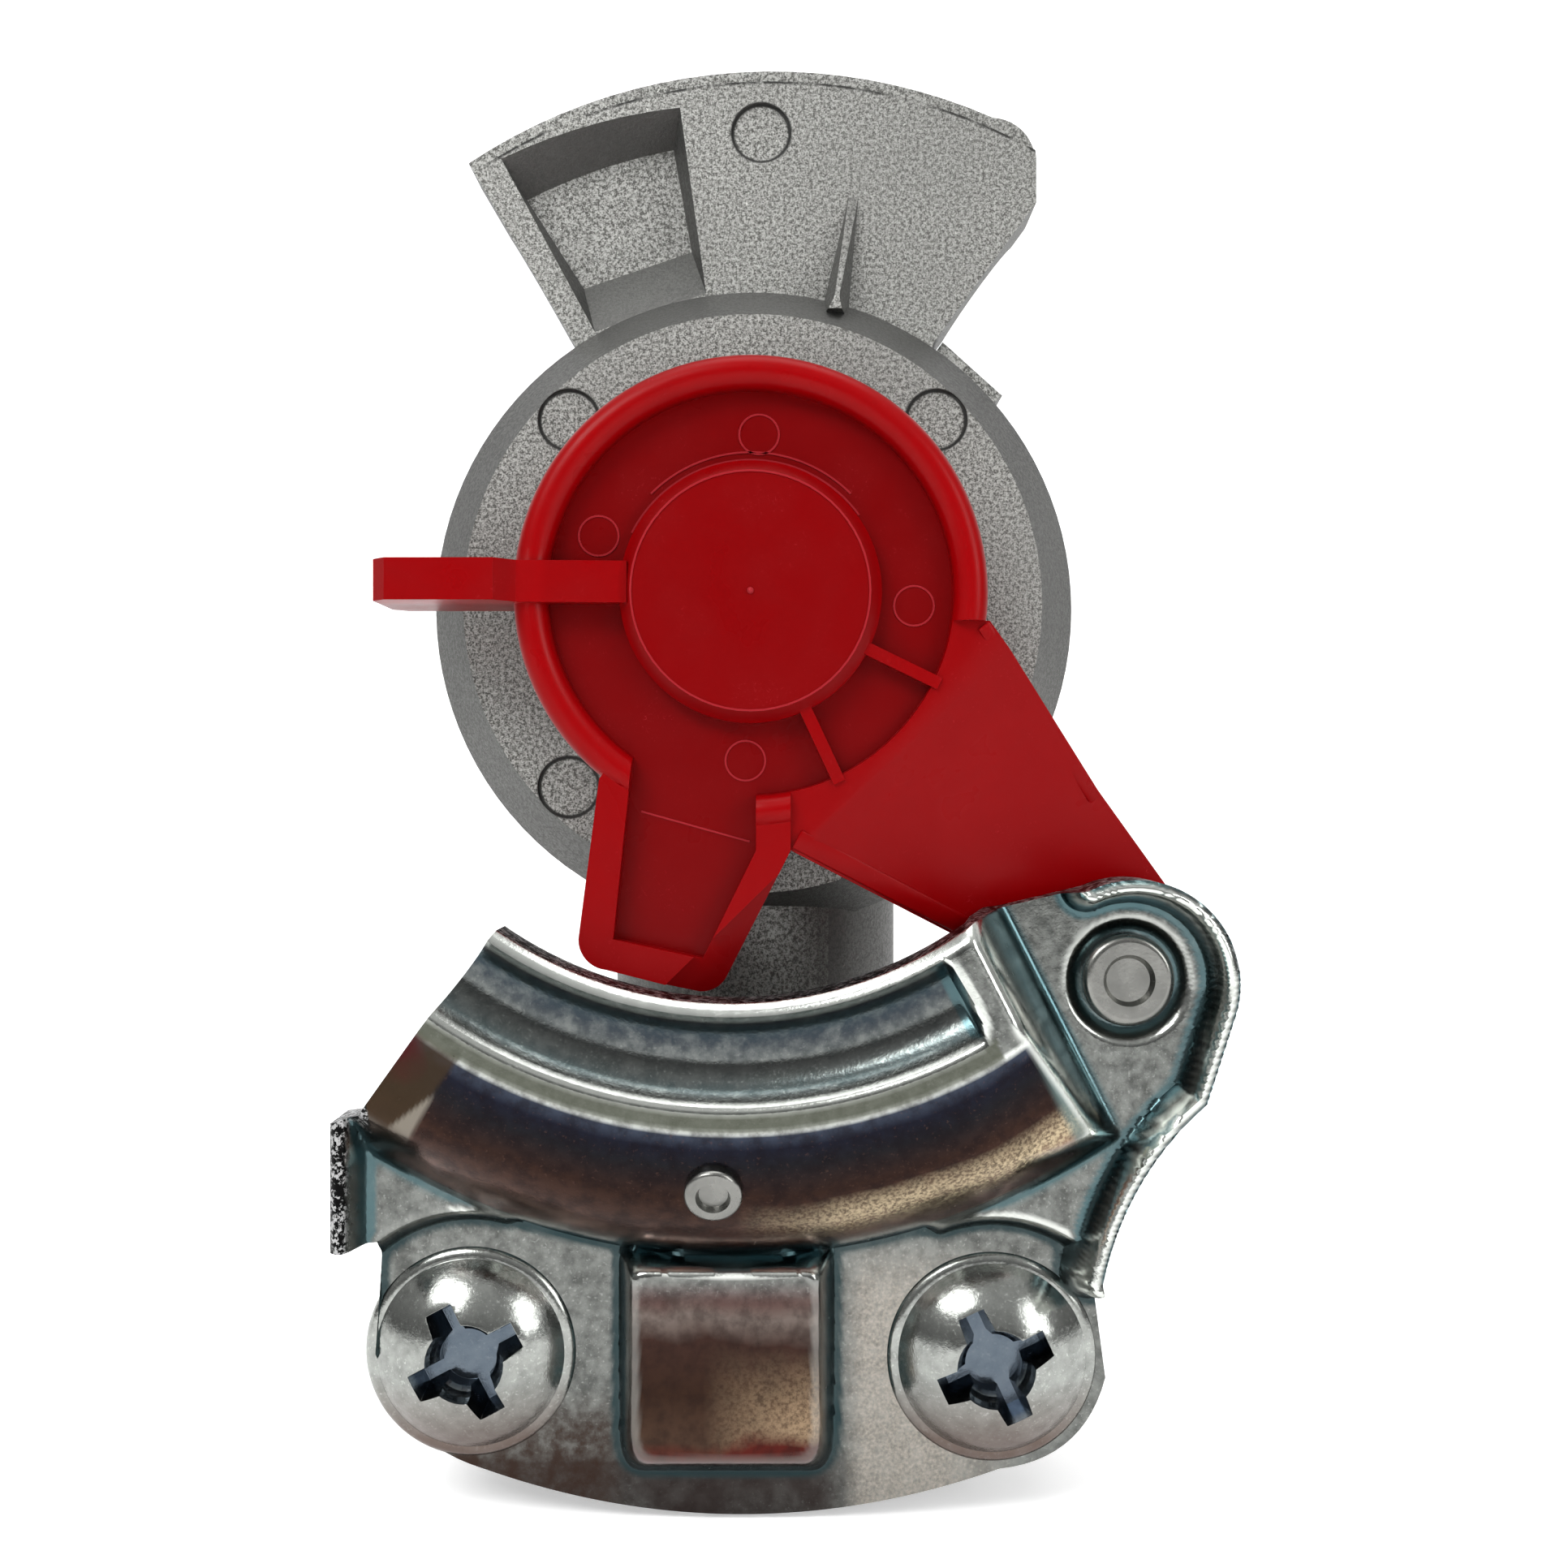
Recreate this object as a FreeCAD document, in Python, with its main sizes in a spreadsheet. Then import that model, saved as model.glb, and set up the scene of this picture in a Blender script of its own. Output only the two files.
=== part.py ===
"""Palm coupling head for a vehicle air-brake line, in millimetres.

The origin is the middle of the sealing ring on the coupling face. Looking at that face, X runs to the right
and Z upwards, and Y runs backwards into the casting. A level is a height in front of the face, so it is -Y.
"""
import FreeCAD, Part
import math
import os
import re
import Sketcher

FRONT = "XZ_Plane"
PLAN = "XY_Plane"

SIZES = [
    ("running_fit", 0.08, "radial clearance of a turning or sliding fit"),
    ("seat_gap", 0.2, "clearance round a piece that is only laid in its seat"),
    ("sheet_thickness", 2.0, "thickness of the pressed plate"),
    # flange, barrel and neck of the casting
    ("face_radius", 22.3, "radius of the flat coupling face"),
    ("flange_radius", 25.4, "radius of the flange"),
    ("bevel_depth", 5.0, "depth of the flange's front bevel"),
    ("flange_depth", 9.0, "depth at which the flange ends"),
    ("shoulder_depth", 12.0, "depth at which the flange has run out into the barrel"),
    ("barrel_radius", 20.5, "radius of the valve barrel"),
    ("barrel_depth", 36.0, "depth of the barrel's rear face"),
    ("rear_chamfer", 1.2, "chamfer on the barrel's rear edge"),
    ("neck_radius", 11.7, "radius of the neck"),
    ("neck_axis_depth", 13.5, "depth of the neck's axis"),
    ("neck_end_drop", 64.0, "distance of the hose port's face below the sealing ring"),
    ("port_radius", 7.19, "minor radius of the M16 x 1.5 hose thread"),
    ("port_length", 14.0, "length of the hose thread"),
    ("passage_radius", 5.0, "radius of the air passage in the neck"),
    # fan of the casting
    ("fan_radius", 44.0, "radius of the fan's outer edge"),
    ("fan_centre_side", 1.5, "distance of the fan's centre right of the sealing ring"),
    ("fan_centre_drop", 0.7, "distance of the fan's centre below the sealing ring"),
    ("fan_front_depth", 5.0, "depth of the fan's front"),
    ("fan_back_depth", 11.4, "depth of the fan's back"),
    ("fan_left_tip", 22.9, "reach of the fan's left tip"),
    ("fan_right_tip", 22.6, "reach of the fan's right tip"),
    ("fan_right_low", 32.6, "height at which the right tip's short straight side starts"),
    ("fan_corner_radius", 3.4, "radius of the right tip's upper corner"),
    ("fan_waist_side", 14.4, "half width of the fan where it meets the flange"),
    ("fan_waist_rise", 21.4, "height at which the fan meets the flange"),
    ("fan_root_rise", 15.0, "height of the fan's root inside the flange"),
    ("bead_width", 1.0, "width of the small step along the fan's outer edge"),
    ("bead_drop", 0.5, "depth of the small step along the fan's outer edge"),
    ("groove_fit", 0.3, "clearance between the fan's groove and the other head's plate"),
    # pocket, gusset, lug and moulding marks of the casting
    ("pocket_depth", 3.0, "depth of the fan's pocket"),
    ("pocket_draft", 0.7, "run of the pocket's steep walls"),
    ("pocket_upper_run", 2.3, "run of the pocket's upper wall"),
    ("pocket_lower_run", 4.4, "run of the pocket's lower wall"),
    ("pocket_left_top", 20.2, "distance of the pocket's upper left corner from the middle"),
    ("pocket_left_rise", 36.1, "height of the pocket's upper left corner"),
    ("pocket_right_top", 5.9, "distance of the pocket's upper right corner from the middle"),
    ("pocket_right_rise", 40.2, "height of the pocket's upper right corner"),
    ("pocket_left_foot", 12.7, "distance of the pocket's lower left corner from the middle"),
    ("pocket_right_foot", 3.8, "distance of the pocket's lower right corner from the middle"),
    ("pocket_gap", 0.2, "distance of the pocket from the flange's edge"),
    ("pocket_left_lean", 0.44, "sideways lean of the pocket's left foot"),
    ("pocket_right_lean", 0.14, "sideways lean of the pocket's right foot"),
    ("pocket_top_lean", 0.4, "sideways lean of the pocket's upper left corner"),
    ("cut_clearance", 0.01, "height at which a lofted cut starts over its face"),
    ("gusset_side", 6.4, "distance of the gusset's foot right of the middle"),
    ("gusset_lean", 1.7, "sideways lean of the gusset's tip"),
    ("gusset_tip_rise", 33.8, "height of the gusset's tip"),
    ("gusset_width", 2.3, "width of the gusset's foot"),
    ("gusset_height", 3.4, "height of the gusset where it meets the flange"),
    ("gusset_root", 2.2, "reach of the gusset's foot under the flange's edge"),
    ("gusset_ridge_root", 1.2, "reach of the gusset's ridge inside the flange's edge"),
    ("gusset_ridge_share", 0.45, "width of the gusset's ridge against its foot"),
    ("gusset_tip_share", 0.35, "width of the gusset's tip against its root"),
    ("lug_angle", 48.0, "direction of the casting's side lug"),
    ("lug_spread", 7.0, "half angle of the side lug"),
    ("lug_reach", 26.5, "reach of the side lug"),
    ("lug_root", 1.0, "reach of the side lug into the barrel and the flange"),
    ("mark_radius", 2.4, "radius of an ejector mark"),
    ("mark_circle", 20.0, "distance of the flange's ejector marks from the middle"),
    ("mark_depth", 0.3, "depth of an ejector mark"),
    ("fan_mark_side", 0.6, "distance of the fan's ejector mark right of the middle"),
    ("fan_mark_rise", 38.2, "height of the fan's ejector mark"),
    # pad and screws
    ("left_screw_side", 20.9, "distance of the left screw from the middle"),
    ("left_screw_drop", 56.2, "distance of the left screw below the sealing ring"),
    ("right_screw_side", 17.9, "distance of the right screw from the middle"),
    ("right_screw_drop", 56.6, "distance of the right screw below the sealing ring"),
    ("pad_radius", 7.2, "radius of the pad round each screw"),
    ("pad_thickness", 9.0, "thickness of the pad under the plate"),
    ("boss_radius", 6.6, "radius of the screw bosses behind the pad"),
    ("boss_depth", 17.0, "depth of the screw bosses"),
    ("screw_radius", 4.0, "radius of an M8 screw"),
    ("screw_reach", 13.0, "length of screw inside the casting"),
    ("head_radius", 8.0, "radius of an M8 pan head"),
    ("head_edge", 2.4, "height of the head's outer edge"),
    ("head_height", 5.6, "height of the head"),
    ("recess_span", 9.0, "span of the cross recess"),
    ("recess_width", 2.5, "width of the cross recess's wings"),
    ("recess_depth", 3.6, "depth of the cross recess"),
    ("recess_core", 2.1, "radius of the cross recess's middle"),
    ("recess_taper", -12.0, "lean of the cross recess's walls, in degrees"),
    ("head_shoulder", 1.0, "rounding of the head's outer edge"),
    ("screw_bevel", 1.0, "bevel of the screw's end"),
    ("left_screw_turn", 28.0, "turn of the left screw's recess"),
    ("right_screw_turn", 25.0, "turn of the right screw's recess"),
    # seal and valve
    ("seal_mouth_radius", 14.3, "radius of the opening in the coupling face"),
    ("seal_lip_depth", 1.7, "thickness of the lip that holds the sealing ring"),
    ("seal_groove_radius", 16.2, "radius of the sealing ring's groove"),
    ("seal_groove_depth", 5.6, "depth of the sealing ring's groove"),
    ("seal_inner_radius", 10.0, "inner radius of the sealing ring"),
    ("seal_stand", 1.0, "height of the sealing ring in front of the face"),
    ("seal_bead_radius", 0.9, "rounding of the sealing ring's front"),
    ("seat_hole_radius", 9.0, "radius of the valve seat's hole"),
    ("seat_depth", 8.0, "depth of the valve seat"),
    ("chamber_radius", 13.5, "radius of the valve chamber"),
    ("nose_radius", 6.0, "radius of the valve's nose"),
    ("nose_depth", 1.0, "depth of the valve's nose behind the face"),
    ("valve_radius", 11.6, "radius of the valve's collar"),
    ("valve_gap", 0.1, "gap between the closed valve's rubber and the seat"),
    ("valve_rubber", 2.0, "thickness of the valve's rubber"),
    ("collar_thickness", 2.4, "thickness of the valve's collar"),
    ("stem_radius", 3.5, "radius of the valve's stem"),
    ("stem_overlap", 3.0, "length of stem in the plug when the valve is closed"),
    ("valve_travel", 4.0, "travel of the valve"),
    ("spring_radius", 6.2, "mean radius of the valve's spring"),
    ("spring_wire", 0.7, "radius of the spring's wire"),
    ("spring_turns", 4.0, "number of turns of the valve's spring"),
    # plug in the barrel's rear
    ("plug_bore_radius", 15.0, "radius of the plug's thread"),
    ("plug_reach", 11.0, "length of the plug inside the barrel"),
    ("plug_cup_depth", 1.5, "depth of the cup that holds the spring"),
    ("plug_flange_radius", 18.0, "radius of the plug's flange"),
    ("plug_flange_thickness", 2.5, "thickness of the plug's flange"),
    ("hexagon_radius", 13.0, "distance of the plug's hexagon corners from its middle"),
    ("hexagon_height", 5.0, "height of the plug's hexagon"),
    ("ring_section", 1.15, "section radius of the plug's sealing ring"),
    # channel of the plate
    ("channel_side", -1.3, "place of the channel's centre across the head"),
    ("channel_rise", -0.5, "place of the channel's centre along the head"),
    ("lip_radius", 28.7, "inner radius of the channel"),
    ("crest_level", 13.0, "level of the channel's crest"),
    ("crest_radius", 37.6, "radius at which the crest starts to fall"),
    ("trough_radius", 32.8, "radius of the trough's lowest line"),
    ("trough_round", 3.4, "radius of the trough's section"),
    ("trough_depth", 2.0, "depth of the trough below the crest"),
    ("mouth_angle", 235.3, "direction of the channel's open end"),
    ("close_angle", 306.4, "direction of the channel's inner corner at the closed end"),
    ("wall_angle", 27.0, "direction that the channel's end wall faces"),
    ("wall_reach", 3.1, "distance of the end wall's upper edge from the seal's middle"),
    ("wall_run", 2.4, "run of the end wall from the crest to the ear"),
    ("strip_width", 2.2, "width of the crest's strip along the end wall"),
    # panels and edges of the plate
    ("panel_level", 6.0, "level of the ear and of the left panel"),
    ("step_drop", 47.8, "distance below the seal of the step's foot"),
    ("step_run", 2.0, "run of the step between the panels and the screw seats"),
    ("pivot_side", 27.7, "distance of the cap's pivot from the middle"),
    ("pivot_drop", 28.3, "distance of the cap's pivot below the seal"),
    ("ear_radius", 7.5, "radius of the ear round the pivot"),
    ("ear_start_angle", 115.0, "direction at which the ear's arc starts"),
    ("ear_end_angle", -20.0, "direction at which the ear's arc ends"),
    ("flank_side", 32.8, "place at which the ear's edge starts to hollow"),
    ("flank_drop", 36.9, "distance of that place below the seal"),
    ("waist_bow", 1.25, "bow of the hollow edge between the ear and the right screw"),
    ("throat_side", 25.3, "place of the ear's lower end"),
    ("throat_drop", 49.9, "distance of the ear's lower end below the seal"),
    ("right_edge", 26.4, "place of the plate's lower right edge"),
    ("right_edge_drop", 58.2, "distance of the lower right edge below the seal"),
    ("right_foot", 18.5, "place of the bottom arc's right end"),
    ("left_foot", 20.0, "place of the bottom arc's left end"),
    ("foot_drop", 65.0, "distance of the bottom arc's ends below the seal"),
    ("bottom_drop", 68.4, "distance of the plate's bottom below the seal"),
    ("left_edge", 27.9, "place of the plate's left edge"),
    ("corner_bow", 1.8, "bow of the plate's two rounded lower corners"),
    ("notch_side", 27.5, "place of the corner under the tab"),
    ("shoulder_side", 28.0, "place of the sheet's shoulder over the tab"),
    ("shoulder_drop", 37.6, "distance of that shoulder below the seal"),
    ("plate_reach", 40.0, "half width of the space that the plate is cut from"),
    ("tab_edge", 30.2, "place of the tab's outer face"),
    ("tab_top_drop", 38.3, "distance of the tab's top below the seal"),
    ("tab_bottom_drop", 47.6, "distance of the tab's bottom below the seal"),
    ("rim_level", 9.2, "level of the upstanding edges"),
    # facets pressed into the ridge's two ends, each a plane through one place on the roll-off
    ("mouth_side", -20.1, "place of the mouth facet's upper corner, across"),
    ("mouth_down", 34.9, "drop of that corner below the seal"),
    ("mouth_drop", 0.1, "depth of that corner below the crest"),
    ("mouth_lean_across", 0.314, "rise of the mouth facet to the right"),
    ("mouth_lean_along", 0.2415, "rise of the mouth facet upwards"),
    ("end_side", 16.4, "place of the end facet's upper corner, across"),
    ("end_down", 34.8, "drop of that corner below the seal"),
    ("end_drop", 0.0, "depth of that corner below the crest"),
    ("end_lean_across", -0.433, "rise of the end facet to the right"),
    ("end_lean_along", 0.273, "rise of the end facet upwards"),
    # embossed box of the plate
    ("box_left", 10.7, "place of the box's left foot"),
    ("box_right", 7.0, "place of the box's right foot"),
    ("box_foot_drop", 66.6, "distance of the box's foot below the seal"),
    ("box_level", 7.5, "level of the box's top"),
    ("box_side_run", 2.3, "run of the box's side walls"),
    ("box_foot_run", 3.9, "run of the box's lower wall"),
    ("box_corner", 1.8, "corner radius of the box"),
    ("box_inner_corner", 1.2, "corner radius inside the box"),
    ("skin_foot", 1.5, "depth of an inner skin's foot, in sheet thicknesses"),
    ("step_skin", 0.8, "set-back of the step's inner skin, in sheet thicknesses"),
    ("spare_angle", 20.0, "angle by which the channel's sweep passes its trimmed ends"),
    # rivets
    ("pivot_radius", 2.5, "radius of the pivot rivet's shank"),
    ("pivot_head_radius", 3.4, "radius of the pivot rivet's head"),
    ("pivot_head_height", 1.3, "height of the pivot rivet's head"),
    ("rivet_dimple_radius", 1.6, "radius of the dimple in the pivot rivet's head"),
    ("rivet_dimple_depth", 0.5, "depth of the dimple in a rivet's head"),
    ("dimple_radius", 4.15, "radius of the pressed seat under the pivot rivet's head"),
    ("dimple_depth", 0.8, "depth of the pressed seat under the pivot rivet's head"),
    ("washer_radius", 5.6, "radius of the pivot's washer"),
    ("washer_thickness", 1.0, "thickness of the pivot's washer"),
    ("tail_radius", 4.0, "radius of the pivot rivet's upset end"),
    ("tail_height", 1.6, "height of the pivot rivet's upset end"),
    ("detent_side", 2.5, "distance of the detent rivet left of the middle"),
    ("detent_drop", 42.3, "distance of the detent rivet below the seal"),
    ("detent_radius", 1.4, "radius of the detent rivet's shank"),
    ("detent_head_radius", 2.05, "radius of the detent rivet's head"),
    ("detent_head_height", 0.9, "height of the detent rivet's head"),
    ("detent_dome_height", 1.2, "height of the detent's dome under the plate"),
    ("detent_seat", 0.3, "depth of the flat seat cut for the detent rivet's head"),
    # dust cap
    ("join", 0.5, "reach of a form of the cap into the form that carries it"),
    ("lap", 0.3, "small lap of one form over its neighbour"),
    ("cut_height", 1.0, "height over the cap at which its cuts start"),
    ("cap_radius", 17.2, "outer radius of the cap's rim"),
    ("cap_inner_radius", 14.7, "inner radius of the cap's rim"),
    ("cap_top_level", 8.8, "level of the cap's rim and middle"),
    ("cap_floor_level", 6.8, "level of the cap's sunken ring"),
    ("cap_under_level", 1.3, "level of the cap's underside"),
    ("cap_wall", 2.4, "wall of the cap"),
    ("cap_boss_radius", 9.5, "radius of the cap's raised middle"),
    ("cap_boss_bevel", 0.8, "bevel of the cap's raised middle"),
    ("fin_reach", 26.9, "reach of the cap's fin"),
    ("fin_rise", 0.65, "height of the fin's middle above the seal's middle"),
    ("fin_thickness", 3.0, "thickness of the fin"),
    ("fin_grip_start", 18.2, "distance at which the fin's raised grip starts"),
    ("fin_grip_level", 10.6, "level of the fin's grip"),
    ("fin_under_level", 2.5, "level of the fin's underside"),
    ("fin_corner", 1.0, "bevel of the fin's corners"),
    ("fin_join", 0.6, "reach of the fin into the cap's middle"),
    ("fin_root_drop", 0.1, "drop of the fin's root below the cap's top"),
    ("fin_grip_run", 1.4, "run of the slope up to the fin's grip"),
    ("fin_swell", 0.4, "height of the fin over the cap's top at the foot of its grip"),
    ("spoke_width", 0.9, "width of the two thin ribs"),
    ("spoke_level", 8.2, "level of the two thin ribs"),
    ("right_spoke_angle", -26.0, "direction of the right thin rib"),
    ("left_spoke_angle", -65.0, "direction of the left thin rib"),
    ("arm_level", 8.0, "level of the arm's raised part"),
    ("arm_slope_start", 16.0, "distance at which the arm starts to fall"),
    ("arm_slope_end", 28.5, "distance at which the arm has fallen below the ear"),
    ("lobe_radius", 6.8, "radius of the arm's end round the pivot"),
    ("lobe_level", 2.8, "level of the arm's end"),
    ("lobe_under_level", 0.4, "level of the underside of the arm's end"),
    ("arm_root_side", 17.3, "place of the arm's right root"),
    ("arm_root_drop", 2.1, "drop of the arm's right root"),
    ("crotch_side", 2.9, "place of the notch between arm and foot"),
    ("crotch_drop", 18.7, "drop of the notch between arm and foot"),
    ("foot_level", 8.4, "level of the foot's rim"),
    ("foot_left_root", 10.9, "place of the foot's left root"),
    ("foot_left_root_drop", 13.5, "drop of the foot's left root"),
    ("foot_left_tip", 12.4, "place of the foot's left tip"),
    ("foot_left_tip_drop", 25.1, "drop of the foot's left tip"),
    ("foot_tip_drop", 29.0, "drop of the foot's lowest edge"),
    ("foot_right_tip", 1.7, "place of the foot's lower right tip"),
    ("foot_corner", 2.0, "rounding of the foot's lower right corner"),
    ("foot_corner_rise", 1.2, "height of the foot's lower right corner"),
    ("foot_left_corner", 2.2, "rounding of the foot's lower left corner"),
    ("foot_rim", 2.5, "width of the foot's rim"),
    ("foot_right_rim", 1.75, "width of the foot's rim at its lower right corner"),
]

doc = FreeCAD.newDocument("CouplingHead")
sheet = doc.addObject("Spreadsheet::Sheet", "Sizes")
for row, (alias, value, meaning) in enumerate(SIZES, start=1):
    sheet.set(f"A{row}", meaning)
    sheet.set(f"B{row}", str(value))
    sheet.setAlias(f"B{row}", alias)
doc.recompute()
size = {alias: float(sheet.get(alias)) for alias, value, meaning in SIZES}


def bound(text):
    """Name the sheet before each of its aliases in an expression."""
    return re.sub(r"[a-z][a-z_]*[a-z]", lambda word: "Sizes." * (word[0] in size) + word[0], text)


def number(owner, text):
    """Give the present value of an expression."""
    value = owner.evalExpression(bound(text))
    return float(getattr(value, "Value", value))


def new_body(name):
    """Start one solid piece, named as its file will be."""
    body = doc.addObject("PartDesign::Body", name)
    body.Label = name
    return body


def add_circle(sketch, across, along, radius):
    """Draw a circle, with its middle and radius bound to expressions."""
    centre = FreeCAD.Vector(number(sketch, across), number(sketch, along), 0)
    circle = Part.Circle(centre, FreeCAD.Vector(0, 0, 1), number(sketch, radius))
    index = sketch.addGeometry(circle, False)
    bind(sketch, Sketcher.Constraint("DistanceX", -1, 1, index, 3, centre.x), across)
    bind(sketch, Sketcher.Constraint("DistanceY", -1, 1, index, 3, centre.y), along)
    bind(sketch, Sketcher.Constraint("Radius", index, number(sketch, radius)), radius)


def bind(sketch, constraint, text):
    """Add a constraint whose value follows an expression."""
    index = sketch.addConstraint(constraint)
    sketch.setExpression(f"Constraints[{index}]", bound(text))


def arc_between(start, finish, radius, side):
    """Make the short arc between two points, and say whether it runs from start to finish."""
    chord = finish - start
    rise = math.sqrt(max(radius ** 2 - chord.Length ** 2 / 4, 0))
    across = FreeCAD.Vector(-chord.y, chord.x, 0).normalize()
    centre = (start + finish) * 0.5 + across * rise * side
    angles = [math.atan2(point.y - centre.y, point.x - centre.x) for point in (start, finish)]
    circle = Part.Circle(centre, FreeCAD.Vector(0, 0, 1), (start - centre).Length)
    if side > 0:
        return Part.ArcOfCircle(circle, angles[0], angles[1]), True
    return Part.ArcOfCircle(circle, angles[1], angles[0]), False


def add_path(sketch, corners):
    """Draw a closed outline through corners.

    A corner is (across, along), reached by a line, or (across, along, radius, side), reached by an arc whose
    centre lies to the left of the way there if side is 1 and to the right if it is -1.
    """
    points = [FreeCAD.Vector(number(sketch, corner[0]), number(sketch, corner[1]), 0) for corner in corners]
    ends = []
    for place, corner in enumerate(corners):
        start = points[place - 1]
        finish = points[place]
        if len(corner) == 2:
            index = sketch.addGeometry(Part.LineSegment(start, finish), False)
            ends.append((index, 1, 2))
        else:
            arc, forward = arc_between(start, finish, number(sketch, corner[2]), corner[3])
            index = sketch.addGeometry(arc, False)
            ends.append((index, 1, 2) if forward else (index, 2, 1))
            bind(sketch, Sketcher.Constraint("Radius", index, arc.Radius), corner[2])
    for place, corner in enumerate(corners):
        before = ends[place]
        after = ends[(place + 1) % len(ends)]
        sketch.addConstraint(Sketcher.Constraint("Coincident", before[0], before[2], after[0], after[1]))
        spot = points[place]
        bind(sketch, Sketcher.Constraint("DistanceX", -1, 1, before[0], before[2], spot.x), corner[0])
        bind(sketch, Sketcher.Constraint("DistanceY", -1, 1, before[0], before[2], spot.y), corner[1])


def draw(body, name, role, level, circles=(), paths=(), swing="0", aside="0"):
    """Add a sketch on one of the body's planes, moved along its normal or aside, and swung round Y."""
    sketch = body.newObject("Sketcher::SketchObject", name)
    plane = next(feature for feature in body.Origin.OriginFeatures if feature.Role == role)
    sketch.AttachmentSupport = [(plane, "")]
    sketch.MapMode = "FlatFace"
    sketch.setExpression("AttachmentOffset.Base.z", bound(level))
    sketch.setExpression("AttachmentOffset.Base.x", bound(aside))
    if swing != "0":
        turned = FreeCAD.Rotation(FreeCAD.Vector(0, 1, 0), number(sketch, swing))
        sketch.AttachmentOffset = FreeCAD.Placement(FreeCAD.Vector(), turned)
        sketch.setExpression("AttachmentOffset.Rotation.Angle", bound(swing))
    for circle in circles:
        add_circle(sketch, *circle)
    for corners in paths:
        add_path(sketch, corners)
    return sketch


def extrude(body, kind, name, sketch, length, symmetric=False, reverse=False):
    """Pad or pocket a sketch by a length that follows an expression."""
    feature = body.newObject(kind, name)
    feature.Profile = (sketch, [""])
    feature.SideType = "Symmetric" if symmetric else "One side"
    feature.Reversed = reverse
    feature.setExpression("Length", bound(length))
    sketch.Visibility = False
    return feature


def turn(body, kind, name, sketch):
    """Revolve or groove a sketch once round its own vertical axis."""
    feature = body.newObject(kind, name)
    feature.Profile = (sketch, [""])
    feature.ReferenceAxis = (sketch, ["V_Axis"])
    feature.Angle = 360
    return feature


def loft(body, kind, name, first, last):
    """Loft between two sketches with equal numbers of edges."""
    feature = body.newObject(kind, name)
    feature.Profile = (first, [""])
    feature.Sections = [(last, [""])]
    feature.Ruled = True
    return feature


def radial(angle, distance, offset="0"):
    """Give the expressions of a point at a distance along a direction and an offset to its left."""
    across = f"({distance}) * cos({angle}) - ({offset}) * sin({angle})"
    along = f"({distance}) * sin({angle}) + ({offset}) * cos({angle})"
    return across, along


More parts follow.
